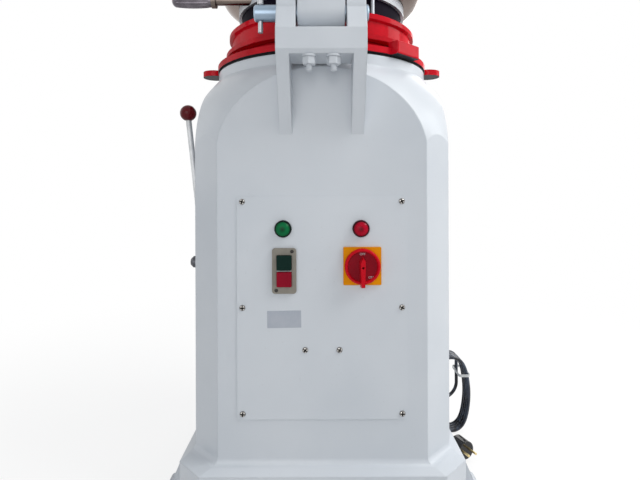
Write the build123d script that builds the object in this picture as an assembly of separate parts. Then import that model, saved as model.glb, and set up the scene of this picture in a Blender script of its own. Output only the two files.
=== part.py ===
from build123d import *
import os
from math import acos, asin, atan2, cos, degrees, hypot, pi, radians, sin, sqrt, tan

# Dough divider rounder, in millimetres, +Z up, -Y towards the panel side.
# The origin is on the floor at the middle of the four anchor holes, under the column's axis.

# Column casting
body_half = 236.0
body_chamfer = 52.0
wall = 8.0
skirt_bottom = 8.0
flare_bottom = 96.0
flare_top = 107.0
skirt_out = 22.0
skirt_half = body_half + skirt_out
skirt_chamfer = 46.0
shoulder_start = 646.0
shoulder_rise = 250.5
shoulder_margin = 1.2
deck_z = 830.0
deck_thick = 14.0
rim_in = 10.0
rim_wall = 12.0
rim_drop = 26.0

# Foot lugs with their anchor holes
foot_y = 150.0
foot_reach = 42.0
foot_half_width = 35.0
foot_pad = 16.0
foot_rib = 10.0
foot_root = 4.0
foot_corner = 8.0
anchor_out = 22.0
anchor_r = 7.0

# Rear panel and its screws
panel_half = 149.0
panel_low = 184.0
panel_high = 574.0
panel_thick = 1.5
panel_lap = 14.0
window_corner = 12.0
screw_inset = 9.5
screw_r = 2.5
screw_head_r = 4.6
screw_head = 2.8
screw_edge = 0.6
screw_length = 9.0
rail_screw_x = 30.0
rail_screw_z = 305.0
hole_gap = 0.1

# Pilot lamps
lamp_x = 68.0
lamp_drop = 57.0
lamp_z = panel_high - lamp_drop
bezel_r = 15.0
bezel_high = 8.0
bezel_edge = 1.6
lens_r = 12.2
lens_rise = 4.5
lamp_body_r = 11.0
lamp_body_deep = 34.0

# Push-button station
station_x = -66.0
station_drop = 130.0
station_z = panel_high - station_drop
station_width = 42.0
station_height = 79.0
station_thick = 5.0
station_corner = 5.0
station_box_deep = 32.0
station_box_inset = 3.0
station_box_wall = 2.0
button_side = 25.6
button_pitch = 28.6
button_corner = 1.2
button_edge = 0.8
button_proud = 5.0
button_travel = 4.0
button_gap = 0.4

# Main isolator
isolator_x = 70.0
isolator_drop = 122.0
isolator_z = panel_high - isolator_drop
isolator_side = 66.0
isolator_thick = 4.0
isolator_corner = 1.5
isolator_block_r = 21.0
isolator_block_deep = 42.0
knob_r = 31.0
knob_thick = 9.0
knob_rim = 4.0
knob_dish = 4.0
pointer_width = 11.0
pointer_up = 18.0
pointer_down = 35.0
pointer_high = 15.0
pointer_hole_r = 2.2
knob_stem_r = 4.0
knob_stem = 12.0

# Fits
run_gap = 0.05
body_gap = 0.4

# Hinge yoke, pin and friction pad
yoke_half = 74.0
yoke_cheek = 22.0
slot_half = 42.0
yoke_foot_z = 682.0
yoke_reach = 70.0
yoke_knee_z = 812.0
yoke_brow_z = 846.0
yoke_back_z = 800.0
bridge_low = 805.0
bridge_high = 847.0
hinge_out = 20.0
hinge_y = -body_half - hinge_out
hinge_z = 886.0
hinge_boss_r = 32.0
pin_r = 14.5
pin_left = -114.0
pin_edge = 2.5
pin_right = 81.0
lock_rod_x = -103.5
lock_rod_r = 4.2
lock_sleeve_r = 5.6
lock_rod_low = 853.0
lock_rod_high = 930.0
pad_front = 16.0
pad_back = 16.0
pad_high = 11.0
stud_x = 20.0
stud_out = 37.0
stud_r = 6.0
stud_below = 26.0
nut_across = 19.0
nut_high = 10.0
washer_r = 12.0
washer_thick = 2.5

# Chamber ring that sets the table, base ring, collar and bell
ring_margin = 60.0
ring_r = body_half - ring_margin
ring_wall = 16.0
throw = 9.0
table_ring_gap = 4.0
table_wall = 10.0
table_wall_r = ring_r + throw + table_ring_gap + table_wall

# Base ring and gasket
gasket_thick = 5.0
ring_bore_r = 100.0
base_neck_in = 11.0
base_neck_r = table_wall_r - base_neck_in
base_flange_out = 29.0
base_flange_r = table_wall_r + base_flange_out
gasket_in = 4.0
gasket_r = base_flange_r - gasket_in
base_flange = 12.0
base_neck_wall = 14.0
base_neck = 18.0
ear_out = 12.0
ear_x = base_flange_r + ear_out
ear_r = 26.0
clamp_angle = -46.5
clamp_in = 10.0
clamp_out = 12.0
clamp_inner = base_flange_r - clamp_in
clamp_outer = base_flange_r + clamp_out
clamp_half = 34.0
clamp_high = 25.0
clamp_edge = 3.0

# Orbiting table
table_gap = 1.0
table_flange_out = 13.0
table_flange_r = table_wall_r + table_flange_out
table_flange = 9.0
table_floor = 16.0
table_wall_high = 30.0
lip_out = 6.0
lip_r = table_wall_r + lip_out
lip_high = 13.0
lip_wall = 10.0
table_hub_r = 40.0
table_hub = 23.0
plate_thick = 10.4
plate_gap = 3.0

# Crank, bearings and idlers
shaft_r = 25.0
shaft_low = 560.0
crank_flange_r = 34.0
crank_flange = 8.0
crank_flange_gap = 2.0
crank_pin_r = 20.0
crank_pin = 34.0
bearing_r = 42.0
bearing_high = 22.0
bearing_low_z = 645.0
housing_r = 62.0
housing_low = 640.0
housing_flange_r = 100.0
housing_flange = 12.0
deck_hole_r = 70.0
table_bearing_r = 28.0
table_bearing_high = 27.0
idler_circle = 130.0
idler_count = 3
idler_pin_r = 8.0
idler_web_r = 14.0
idler_web = 10.0
weight_r = 92.0
weight_low = 622.0
weight_high = 636.0

# Belt drive and motor
pulley_low = 575.0
pulley_high = 40.0
rim_inset = 3.0
driver_r = 42.0
pulley_gap = 5.0
bracket_flange = 8.0
motor_r = 64.0
motor_gap = 4.0
motor_y = body_half - wall - bracket_flange - motor_gap - motor_r
driven_r = motor_y - driver_r - pulley_gap
groove_deep = 10.5
groove_floor = 8.0
groove_mouth = 15.0
belt_high = 6.8
belt_deep = 9.0
belt_gap = 0.5
pulley_hub_r = 40.0
pulley_rim = 19.0
pulley_web = 10.0
pulley_hole_r = 14.0
pulley_holes = 5
motor_low = 318.0
motor_top = 540.0
motor_cap = 12.0
motor_shaft_r = 12.0
motor_shaft_deep = 45.0
bracket_thick = 10.0
bracket_half = 88.0
bracket_drop = 70.0

# Rounding lever
lever_y = -40.0
lever_z = 427.0
lever_shaft_r = 11.0
lever_shaft_out = 30.0
lever_shaft_in = 86.0
lever_shaft_end = -body_half - lever_shaft_out
lever_shaft_inner = lever_shaft_in - body_half
lever_nut_r = 12.5
lever_nut = 18.0
lever_hub_r = 20.0
lever_hub_out = 19.0
lever_rod_r = 6.0
ball_out = 54.0
ball_x = -body_half - ball_out
ball_z = 750.0
ball_r = 17.5
ball_socket = 10.0
bush_r = 17.0
bush_flange_r = 24.0
bush_flange = 6.0
bush_inner = 12.0
cam_r = 18.0
cam_offset = 5.0
cam_width = 12.0
cam_reach = 66.0
cam_in = body_half - cam_reach
switch_gap = 1.5
switch_width = 28.0
switch_depth = 44.0
switch_high = 30.0
shelf_thick = 4.0
plunger_r = 4.0
plunger = 6.0

# Head arm, bell and pressure ring
arm_half = 39.5
arm_lug_r = 31.5
arm_thick = 55.5
arm_inner_y = hinge_y - arm_lug_r + arm_thick
arm_top = 1170.0
arm_bottom = 1120.0
arm_outer_round = 95.0
arm_inner_round = 45.0
arm_nose = 20.0
bush_wall = 3.5
bell_low = 976.0
bell_mid = 1008.0
bell_top = 1112.0
bell_lip_r = ring_r + 1.0
bell_rim_out = 8.0
bell_rim_r = bell_lip_r + bell_rim_out
bell_bulge = 34.0
bell_r = bell_rim_r + bell_bulge
bell_crown_r = 60.0
bell_wall = 5.0
bell_hole_gap = 1.0
ring_clear = 0.6
ring_flange = 5.0
ring_flange_r = bell_rim_r - 0.5
boss_r = 46.0
boss_high = 80.0
boss_flange_r = 62.0
boss_flange = 10.0
bell_screw_circle = 54.0
bell_screw_r = 4.0
bell_screw_head_r = 6.5
bell_screw_head = 8.0
bell_screw_angles = (0, 60, 120, 180)

# Collar with its side handle
collar_low = 956.0
collar_wall = 6.5
collar_gap = 0.5
collar_pin_r = 4.5
collar_pin = 35.0
collar_pin_angle = -57.0
handle_y = -110.0
handle_rod_r = 9.0
handle_rod_out = 38.0
handle_rod_end = -(ring_r + collar_gap + collar_wall + handle_rod_out)
ferrule_r = 14.5
ferrule = 9.0
grip_length = 80.0
grip_end = handle_rod_end - grip_length
grip_r = 14.0
grip_neck_r = 12.0

# Press spindle, plate and pads
spindle_r = 18.0
spindle_top = 1230.0
spindle_flange_r = 40.0
spindle_flange = 8.0
pad_low = 935.0
pad_height = 60.0
press_plate = 12.0
press_plate_r = 145.0
pad_clear = 1.0

# Knives
blade = 2.0
knife_low = 934.0
knife_high = 40.0
knife_gap = 0.5
inner_pieces = 6
middle_pieces = 12
outer_pieces = 18
knife_carrier_low = 1030.0
knife_carrier = 6.0
knife_carrier_wall = 11.0
knife_tabs = 6

# Rack, pinion and press lever
gear_module = 3.0
pinion_teeth = 16
pressure_angle = 20.0
backlash = 0.6
rack_pitch_y = 13.75
rack_half = 4
pinion_half = 12.0
pinion_shaft_r = 10.0
pinion_z = 1150.0
pinion_room = 1.5
pinion_cheek = 19.0
pinion_house = 8.0
lever_bar_r = 11.0
lever_bar = 400.0
lever_angle = 50.0
lever_bar_hub_r = 24.0
lever_bar_hub = 26.0
lever_bar_gap = 8.5
lever_grip_r = 16.0
lever_grip = 110.0
lever_grip_socket = 80.0

# Mains cord, gland, tie and plug
cord_r = 4.0
gland_y = 102.0
gland_nut_r = 11.0
gland_nut = 6.0
gland_dome_r = 9.5
gland_dome = 14.0
gland_thread_r = 8.0
gland_inside = 10.0
gland_end_r = 5.2
cord_wall_x = 258.0
cord_shift = skirt_half - cord_wall_x
hank_x = 306.5 + cord_shift
hank_z = 93.5
hank_half_high = 88.0
hank_fold_r = 26.0
hank_side_reach = 39.0
hank_half_widths = (39.0, 40.0, 41.0, 42.0)
hank_first_drift = 12.0
hank_first_share = 0.31
hank_step = 9.4
hank_tail = 30.5
tie_z = 140.0
tie_high = 6.0
tie_in = 5.0
tie_thick = 1.5
tie_gap = 0.6
plug_r = 19.0
plug_length = 40.0
plug_boot = 25.0
plug_pin_r = 2.4
plug_pin = 19.0
plug_pin_pitch = 19.0

lead_points = [
    (282.0, 102.0, 62.0),
    (293.9, 102.0, 62.0),
    (307.7, 102.0, 66.5),
    (319.5, 102.0, 75.0),
    (328.0, 102.0, 86.8),
    (332.5, 102.0, 100.6),
    (332.5, 102.0, 145.5),
]
tail_points = [
    (264.5, 50.05, 63.0),
    (264.5, 50.05, 51.0),
    (266.0, 46.7, 39.5),
    (269.0, 40.3, 29.8),
    (273.1, 31.5, 22.7),
    (277.9, 21.2, 19.0),
    (282.8, 10.5, 19.0),
]

lead_points = [(x + cord_shift, y, z) for x, y, z in lead_points]
tail_points = [(x + cord_shift, y, z) for x, y, z in tail_points]

nodes = {}


def post(radius, low, high, x=0.0, y=0.0):
    return Pos(x, y, (low + high) / 2) * Cylinder(radius, high - low)


def tube(outer, inner, low, high, x=0.0, y=0.0):
    return post(outer, low, high, x, y) - post(inner, low, high, x, y)


def bar_x(radius, start, end, y, z):
    return Pos((start + end) / 2, y, z) * Rot(0, 90, 0) * Cylinder(radius, end - start)


def bar_y(radius, start, end, x, z):
    return Pos(x, (start + end) / 2, z) * Rot(90, 0, 0) * Cylinder(radius, end - start)


def block(x0, x1, y0, y1, z0, z1):
    return Pos((x0 + x1) / 2, (y0 + y1) / 2, (z0 + z1) / 2) * Box(x1 - x0, y1 - y0, z1 - z0)


def rod(radius, start, end):
    start = Vector(*start)
    end = Vector(*end)
    return Solid.make_cylinder(radius, (end - start).length, Plane(start, z_dir=end - start))


def turned(points):
    return revolve(Plane.XZ * make_face(Polyline(*points, close=True)), Axis.Z)


def cap_arc(radius, low, rise):
    ball = (radius ** 2 + rise ** 2) / (2 * rise)
    start = degrees(asin((ball - rise) / ball))
    return CenterArc((0, low + rise - ball), ball, start, 90 - start)


def along_x(shape, x, y, z):
    return Pos(x, y, z) * Rot(0, 90, 0) * shape


def towards_panel(shape, x, y, z):
    return Pos(x, y, z) * Rot(90, 0, 0) * shape


def rear_plate(width, height, corner, x, z, near, far):
    face = Plane.XZ * Pos(x, z) * RectangleRounded(width, height, corner)
    return Pos(0, far, 0) * extrude(face, far - near)


def side_profile(outline, half):
    return extrude(Plane.YZ * make_face(outline), half, both=True)


# Column casting

def octagon(half, cut):
    return chamfer(Rectangle(2 * half, 2 * half).vertices(), cut)


def prism(half, cut, low, high):
    return extrude(Pos(0, 0, low) * octagon(half, cut), high - low)


def flare(lower_half, lower_cut, upper_half, upper_cut, low, high):
    lower = Pos(0, 0, low) * octagon(lower_half, lower_cut)
    upper = Pos(0, 0, high) * octagon(upper_half, upper_cut)
    return loft([lower, upper], ruled=True)


def shoulder(radius, rise, low, top):
    reach = degrees(asin((top - shoulder_start) / rise))
    arc = EllipticalCenterArc((0, shoulder_start), radius, rise, 0, arc_size=reach)
    outline = [
        Line((0, low), (radius, low)),
        Line((radius, low), (radius, shoulder_start)),
        arc,
        Line(arc @ 1, (0, top)),
        Line((0, top), (0, low)),
    ]
    return revolve(Plane.XZ * make_face(outline), Axis.Z)


def inset_sizes(half, cut, inset):
    return half - inset, cut - inset * (2 - sqrt(2))


def column_form(inset, low, top):
    half, cut = inset_sizes(body_half, body_chamfer, inset)
    radius = hypot(body_half, body_half - body_chamfer) + shoulder_margin - inset
    return prism(half, cut, low, top) & shoulder(radius, shoulder_rise - inset, low, top)


def skirt_form(inset, low):
    half, cut = inset_sizes(body_half, body_chamfer, inset)
    foot_half, foot_cut = inset_sizes(skirt_half, skirt_chamfer, inset)
    slope = flare(foot_half, foot_cut, half, cut, flare_bottom, flare_top)
    return slope + prism(foot_half, foot_cut, low, flare_bottom)


def foot_lug():
    root = skirt_half - foot_root
    outer = skirt_half + foot_reach
    pad = Pos((root + outer) / 2, 0, 0) * RectangleRounded(outer - root, 2 * foot_half_width, foot_corner)
    pad = extrude(pad, foot_pad)
    slope = Polyline(
        (root, 0), (outer - foot_corner, 0), (outer - foot_corner, foot_pad),
        (skirt_half, flare_bottom), (root, flare_bottom), close=True)
    rib = extrude(Plane.XZ * make_face(slope), foot_rib)
    lug = pad
    lug += Pos(0, foot_half_width, 0) * rib
    lug += Pos(0, foot_rib - foot_half_width, 0) * rib
    return lug - post(anchor_r, -foot_pad, 2 * foot_pad, skirt_half + anchor_out)


def panel_screw_places():
    heights = (panel_low + screw_inset, (panel_low + panel_high) / 2, panel_high - screw_inset)
    edge = [(side * (panel_half - screw_inset), z) for side in (-1, 1) for z in heights]
    return edge + [(side * rail_screw_x, rail_screw_z) for side in (-1, 1)]


def column_shell():
    shell = column_form(0, flare_top, deck_z)
    shell -= column_form(wall, flare_top - wall, deck_z - deck_thick)
    window = rear_plate(
        2 * (panel_half - panel_lap), panel_high - panel_low - 2 * panel_lap, window_corner,
        0, (panel_low + panel_high) / 2, -body_half - wall, wall * 2 - body_half)
    shell -= window
    rim_r = body_half - rim_in
    shell += tube(rim_r, rim_r - rim_wall, deck_z - rim_drop, deck_z)
    for x, z in panel_screw_places()[:6]:
        shell -= bar_y(screw_r + hole_gap, -body_half - wall, wall * 2 - body_half, x, z)
    shell -= post(deck_hole_r, deck_z - 2 * deck_thick, deck_z + deck_thick)
    shell -= bar_x(bush_r + hole_gap, -body_half - wall, wall * 2 - body_half, lever_y, lever_z)
    return shell


def base_skirt():
    skirt = skirt_form(0, skirt_bottom) - skirt_form(wall, skirt_bottom - wall)
    lug = foot_lug()
    for turn in (0, 180):
        for y in (-foot_y, foot_y):
            skirt += Rot(0, 0, turn) * Pos(0, y, 0) * lug
    return skirt - bar_x(gland_thread_r + hole_gap, skirt_half - wall * 2, skirt_half + wall, gland_y, lead_points[0][2])


# Rear panel and electrical pieces

panel_face = -body_half - panel_thick


def back_panel():
    panel = rear_plate(
        2 * panel_half, panel_high - panel_low, station_corner,
        0, (panel_low + panel_high) / 2, panel_face, -body_half)
    for x, z in panel_screw_places():
        panel -= bar_y(screw_r + hole_gap, panel_face - wall, wall - body_half, x, z)
    for x in (-lamp_x, lamp_x):
        panel -= bar_y(lamp_body_r + hole_gap, panel_face - wall, wall - body_half, x, lamp_z)
    inset = station_box_inset - hole_gap
    panel -= rear_plate(
        station_width - 2 * inset, station_height - 2 * inset, station_corner,
        station_x, station_z, panel_face - wall, wall - body_half)
    return panel - bar_y(isolator_block_r + hole_gap, panel_face - wall, wall - body_half, isolator_x, isolator_z)


def panel_screws():
    shank = Polyline(
        (0, -screw_length), (screw_r, -screw_length), (screw_r, 0), (screw_head_r, 0), (screw_head_r, screw_edge))
    dome = cap_arc(screw_head_r, screw_edge, screw_head - screw_edge)
    outline = [shank, dome, Line((0, screw_head), (0, -screw_length))]
    screw = revolve(Plane.XZ * make_face(outline), Axis.Z)
    return [towards_panel(screw, x, panel_face, z) for x, z in panel_screw_places()]


def lamp_bezels():
    bezel = turned([
        (lens_r + hole_gap, 0), (bezel_r, 0), (bezel_r, bezel_high * 0.55), (bezel_r - bezel_edge, bezel_high),
        (lens_r + hole_gap, bezel_high)])
    return [towards_panel(bezel, x, panel_face, lamp_z) for x in (-lamp_x, lamp_x)]


def lamp(x):
    side = Polyline(
        (0, -lamp_body_deep), (lamp_body_r, -lamp_body_deep), (lamp_body_r, 0), (lens_r, 0), (lens_r, bezel_high))
    dome = cap_arc(lens_r, bezel_high, lens_rise)
    outline = [side, dome, Line((0, bezel_high + lens_rise), (0, -lamp_body_deep))]
    return towards_panel(revolve(Plane.XZ * make_face(outline), Axis.Z), x, panel_face, lamp_z)


def button_heights():
    return station_z + button_pitch / 2, station_z - button_pitch / 2


def button_station():
    front = panel_face - station_thick
    plate = rear_plate(
        station_width, station_height, station_corner, station_x, station_z, front, panel_face)
    box_width = station_width - 2 * station_box_inset
    box_height = station_height - 2 * station_box_inset
    back = panel_face + station_box_deep
    box = rear_plate(box_width, box_height, station_corner, station_x, station_z, panel_face, back)
    room = 2 * station_box_wall
    box -= rear_plate(
        box_width - room, box_height - room, station_corner - station_box_wall,
        station_x, station_z, panel_face - wall, back - station_box_wall)
    station = plate + box
    opening = button_side + 2 * button_gap
    for z in button_heights():
        station -= rear_plate(opening, opening, button_corner, station_x, z, front - wall, panel_face + 1)
    return station


def push_button(z):
    front = panel_face - station_thick - button_proud
    cap = rear_plate(button_side, button_side, button_corner, station_x, z, front, panel_face + button_travel)
    rim = [e for e in cap.edges() if abs(e.center().Y - front) < 0.01]
    return fillet(rim, button_edge)


def isolator_plate():
    front = panel_face - isolator_thick
    plate = rear_plate(isolator_side, isolator_side, isolator_corner, isolator_x, isolator_z, front, panel_face)
    plate += bar_y(isolator_block_r, panel_face, panel_face + isolator_block_deep, isolator_x, isolator_z)
    return plate - bar_y(knob_stem_r + run_gap, front - wall, front + knob_stem + body_gap, isolator_x, isolator_z)


def isolator_knob():
    back = panel_face - isolator_thick - body_gap
    dish = turned([
        (0, 0), (knob_r, 0), (knob_r, knob_thick - 2), (knob_r - 1.5, knob_thick), (knob_r - knob_rim, knob_thick),
        (knob_r - knob_rim - 1.5, knob_thick - knob_dish), (0, knob_thick - knob_dish)])
    half = pointer_width / 2
    outline = Polyline(
        (-half * 0.8, -pointer_down), (half * 0.8, -pointer_down), (half, 0), (half, pointer_up * 0.5),
        (0, pointer_up), (-half, pointer_up * 0.5), (-half, 0), close=True)
    pointer = extrude(Pos(0, 0, knob_thick - knob_dish) * make_face(outline), pointer_high, taper=5)
    knob = dish + pointer - post(pointer_hole_r, knob_thick, 2 * knob_thick + pointer_high)
    return towards_panel(knob + post(knob_stem_r, -knob_stem, 0), isolator_x, back, isolator_z)


# Hinge yoke and its pieces

def hinge_yoke():
    face = -body_half
    front = face - yoke_reach
    outline = Polyline(
        (face, yoke_foot_z), (front, yoke_knee_z), (front, yoke_brow_z), (hinge_y - hinge_boss_r, hinge_z),
        (hinge_y + hinge_boss_r, hinge_z), (face, yoke_back_z), close=True)
    yoke = side_profile(outline, yoke_half)
    yoke += bar_x(hinge_boss_r, -yoke_half, yoke_half, hinge_y, hinge_z)
    inner = yoke_half - yoke_cheek
    far = yoke_half * 2
    yoke -= block(-inner, inner, front - far, face + far, yoke_foot_z - far, bridge_low)
    yoke -= block(-slot_half, slot_half, front - far, face + far, bridge_high, hinge_z + far)
    yoke -= bar_x(pin_r + run_gap, -far, far, hinge_y, hinge_z)
    for x in (-stud_x, stud_x):
        yoke -= post(stud_r + hole_gap, bridge_low - wall, bridge_high + wall, x, hinge_y - stud_out)
    return yoke


def hinge_pin():
    pin = bar_x(pin_r, pin_left, pin_right, hinge_y, hinge_z)
    pin = chamfer(pin.edges().filter_by(GeomType.CIRCLE), pin_edge)
    return pin - post(lock_rod_r + run_gap, hinge_z - 2 * pin_r, hinge_z + 2 * pin_r, lock_rod_x, hinge_y)


def pin_lock_rod():
    lock = post(lock_rod_r, lock_rod_low, lock_rod_high, lock_rod_x, hinge_y)
    return lock + post(lock_sleeve_r, hinge_z + pin_r + body_gap, lock_rod_high, lock_rod_x, hinge_y)


def friction_pad():
    half = slot_half - 3
    pad = block(-half, half, hinge_y - pad_front, hinge_y + pad_back, bridge_high, bridge_high + pad_high)
    return pad - bar_x(arm_lug_r + body_gap, -far_x(), far_x(), hinge_y, hinge_z)


def far_x():
    return 2 * yoke_half


def bridge_studs():
    pieces = []
    for x in (-stud_x, stud_x):
        y = hinge_y - stud_out
        under = bridge_low - washer_thick
        pieces.append(post(stud_r, bridge_low - stud_below, bridge_high, x, y))
        pieces.append(tube(washer_r, stud_r, under, bridge_low, x, y))
        nut = Pos(x, y, under - nut_high) * extrude(RegularPolygon(nut_across / 2, 6, major_radius=False), nut_high)
        pieces.append(nut - post(stud_r, under - 2 * nut_high, under + nut_high, x, y))
    return pieces


# Base ring and orbiting table

base_low = deck_z + gasket_thick
base_top = base_low + base_flange
neck_top = base_top + base_neck
flange_low = neck_top + table_gap
floor_low = flange_low + table_flange
floor_top = floor_low + table_floor
wall_top = floor_low + table_wall_high
lip_top = wall_top + lip_high


def idler_angles():
    return [90 + 360 / idler_count * k for k in range(idler_count)]


def idler_places():
    return [(idler_circle * cos(radians(a)), idler_circle * sin(radians(a))) for a in idler_angles()]


def base_ring():
    ring = tube(base_flange_r, ring_bore_r, base_low, base_top)
    ring += tube(base_neck_r, base_neck_r - base_neck_wall, base_top, neck_top)
    for side in (-1, 1):
        ring += post(ear_r, base_low, base_top, side * ear_x)
    clamp = block(clamp_inner, clamp_outer, -clamp_half, clamp_half, base_low, base_low + clamp_high)
    outer = [e for e in clamp.edges() if e.center().X > clamp_outer - 0.01 or e.center().Z > base_low + clamp_high - 0.01]
    ring += Rot(0, 0, clamp_angle) * fillet(outer, clamp_edge)
    for x, y in idler_places():
        ring -= post(idler_pin_r + run_gap, base_low - wall, base_top + wall, x, y)
    return ring


def table_casting():
    inner = table_wall_r - table_wall
    table = turned([
        (0, floor_low), (inner - 1, floor_low), (inner - 1, flange_low), (table_flange_r, flange_low),
        (table_flange_r, floor_low), (table_wall_r, floor_low + 2), (table_wall_r, wall_top),
        (lip_r, wall_top + 2), (lip_r, lip_top - 2), (lip_r - 2, lip_top), (lip_r - lip_wall, lip_top),
        (inner, wall_top + 2), (inner, floor_top), (0, floor_top)])
    hub_low = floor_low - table_hub
    table += post(table_hub_r, hub_low, floor_low)
    table -= post(table_bearing_r, hub_low - wall, hub_low + crank_pin - crank_flange_gap + body_gap)
    for x, y in idler_places():
        table -= post(idler_pin_r + run_gap, floor_low - wall, floor_low + table_floor * 0.75, x, y)
    return Pos(0, throw, 0) * table


def moulding_plate():
    radius = table_wall_r - table_wall - plate_gap
    top = floor_top + plate_thick
    plate = turned([(0, floor_top), (radius, floor_top), (radius, top - 2), (radius - 2, top), (0, top)])
    return Pos(0, throw, 0) * plate


# Crank, bearings, belt and motor

def crank_shaft():
    flange_top = floor_low - table_hub - crank_flange_gap
    shaft = post(shaft_r, shaft_low, flange_top - crank_flange)
    shaft += post(crank_flange_r, flange_top - crank_flange, flange_top)
    return shaft + post(crank_pin_r, flange_top, flange_top + crank_pin, 0, throw)


def table_bearing():
    low = floor_low - table_hub + 1
    return tube(table_bearing_r, crank_pin_r + run_gap, low, low + table_bearing_high, 0, throw)


def idler_crank(x, y):
    web_low = base_top + 4
    web = make_hull((Circle(idler_web_r) + Pos(0, throw) * Circle(idler_web_r)).edges())
    crank = Pos(x, y, web_low) * extrude(web, idler_web)
    crank += post(idler_pin_r, base_low + 1, web_low, x, y)
    return crank + post(idler_pin_r, web_low + idler_web, floor_low + table_floor * 0.75 - 1, x, y + throw)


def bearing_housing():
    under = deck_z - deck_thick
    bore = bearing_r + run_gap
    return turned([
        (bore, housing_low), (housing_r, housing_low), (housing_r, under - housing_flange),
        (housing_flange_r, under - housing_flange), (housing_flange_r, under), (deck_hole_r - hole_gap, under),
        (deck_hole_r - hole_gap, deck_z - 2), (bore, deck_z - 2)])


def main_bearings():
    upper = deck_z - bearing_high - 6
    return [tube(bearing_r, shaft_r + run_gap, low, low + bearing_high) for low in (bearing_low_z, upper)]


def balance_weight():
    ring = tube(weight_r, shaft_r, weight_low, weight_high)
    half = ring & block(-weight_r, weight_r, -weight_r, 0, weight_low, weight_high)
    return half + tube(pulley_hub_r, shaft_r, weight_low, weight_high)


pulley_mid = pulley_low + pulley_high / 2


def pulley(radius, bore):
    rim_low = pulley_low + rim_inset
    rim_high = pulley_low + pulley_high - rim_inset
    if radius > pulley_hub_r + pulley_rim:
        rim = tube(radius, radius - pulley_rim, rim_low, rim_high)
        rim += tube(pulley_hub_r, bore, pulley_low, pulley_low + pulley_high)
        rim += tube(radius - pulley_rim, pulley_hub_r, pulley_mid - pulley_web / 2, pulley_mid + pulley_web / 2)
        middle = (radius - pulley_rim + pulley_hub_r) / 2
        for place in PolarLocations(middle, pulley_holes):
            rim -= place * Pos(0, 0, pulley_mid) * Cylinder(pulley_hole_r, 2 * pulley_web)
    else:
        rim = tube(radius, bore, rim_low, rim_high)
    floor_r = radius - groove_deep
    mouth = radius + 1
    groove = turned([
        (floor_r, pulley_mid - groove_floor / 2), (mouth, pulley_mid - groove_mouth / 2),
        (mouth, pulley_mid + groove_mouth / 2), (floor_r, pulley_mid + groove_floor / 2)])
    return rim - groove


def belt_face(depth):
    big = Circle(driven_r - groove_deep + depth)
    small = Pos(0, motor_y) * Circle(driver_r - groove_deep + depth)
    return make_hull(big.edges() + small.edges())


def v_belt():
    face = belt_face(belt_gap + belt_deep) - belt_face(belt_gap)
    return extrude(Pos(0, 0, pulley_mid - belt_high / 2) * face, belt_high)


def motor_body():
    motor = turned([
        (0, motor_low), (motor_r - 8, motor_low), (motor_r, motor_low + motor_cap), (motor_r, motor_top), (0, motor_top)])
    for place in PolarLocations(motor_r, 24):
        motor -= place * Pos(0, 0, (motor_low + motor_top) / 2) * Box(8, 5, (motor_top - motor_low) * 0.6)
    motor -= post(motor_shaft_r + run_gap, motor_top - motor_shaft_deep, motor_top + wall)
    return Pos(0, motor_y, 0) * motor


def motor_shaft():
    return post(motor_shaft_r, motor_top - motor_shaft_deep + 1, pulley_low + pulley_high, 0, motor_y)


def motor_bracket():
    front = body_half - wall
    back = motor_y - motor_r - bracket_thick
    top = motor_top + bracket_thick
    plate = block(-bracket_half, bracket_half, back, front, motor_top, top)
    plate += block(-bracket_half, bracket_half, front - bracket_flange, front, motor_top - bracket_drop, motor_top)
    gusset = Polyline(
        (front - bracket_flange, motor_top), (motor_y, motor_top),
        (front - bracket_flange, motor_top - bracket_drop), close=True)
    web = extrude(Plane.YZ * make_face(gusset), bracket_flange)
    plate += Pos(bracket_half - bracket_flange, 0, 0) * web
    plate += Pos(-bracket_half, 0, 0) * web
    return plate - post(motor_shaft_r * 1.6, motor_top - wall, top + wall, 0, motor_y)


# Rounding lever and its switch

def lever_bush():
    face = -body_half
    bush = bar_x(bush_r, face - bush_flange, face + wall + bush_inner, lever_y, lever_z)
    bush += bar_x(bush_flange_r, face - bush_flange, face, lever_y, lever_z)
    return bush - bar_x(lever_shaft_r + run_gap, face - 4 * wall, face + 6 * wall, lever_y, lever_z)


def lever_shaft():
    shaft = bar_x(lever_shaft_r, lever_shaft_end, lever_shaft_inner, lever_y, lever_z)
    nut = turned([(0, 0), (lever_nut_r, 0), (lever_nut_r, lever_nut * 0.7), (lever_nut_r * 0.6, lever_nut), (0, lever_nut)])
    shaft += Pos(lever_shaft_end, lever_y, lever_z) * Rot(0, -90, 0) * nut
    return shaft + bar_x(cam_r, -cam_in - cam_width / 2, -cam_in + cam_width / 2, lever_y - cam_offset, lever_z)


def lever_rod():
    hub_out = lever_shaft_end
    hub_in = hub_out + lever_hub_out
    hub = bar_x(lever_hub_r, hub_out, hub_in, lever_y, lever_z)
    middle = (hub_out + hub_in) / 2
    arm = hub + rod(lever_rod_r, (middle, lever_y, lever_z), (ball_x, lever_y, ball_z - ball_r + ball_socket))
    return arm - bar_x(lever_shaft_r, hub_out - wall, hub_in + wall, lever_y, lever_z)


def lever_ball():
    middle = lever_shaft_end + lever_hub_out / 2
    ball = Pos(ball_x, lever_y, ball_z) * Sphere(ball_r)
    flat = ball_z - ball_r + 1.5
    ball -= block(ball_x - ball_r, ball_x + ball_r, lever_y - ball_r, lever_y + ball_r, flat - ball_r, flat)
    socket_top = (ball_x, lever_y, ball_z - ball_r + ball_socket)
    return ball - rod(lever_rod_r, (middle, lever_y, lever_z), socket_top)


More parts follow.
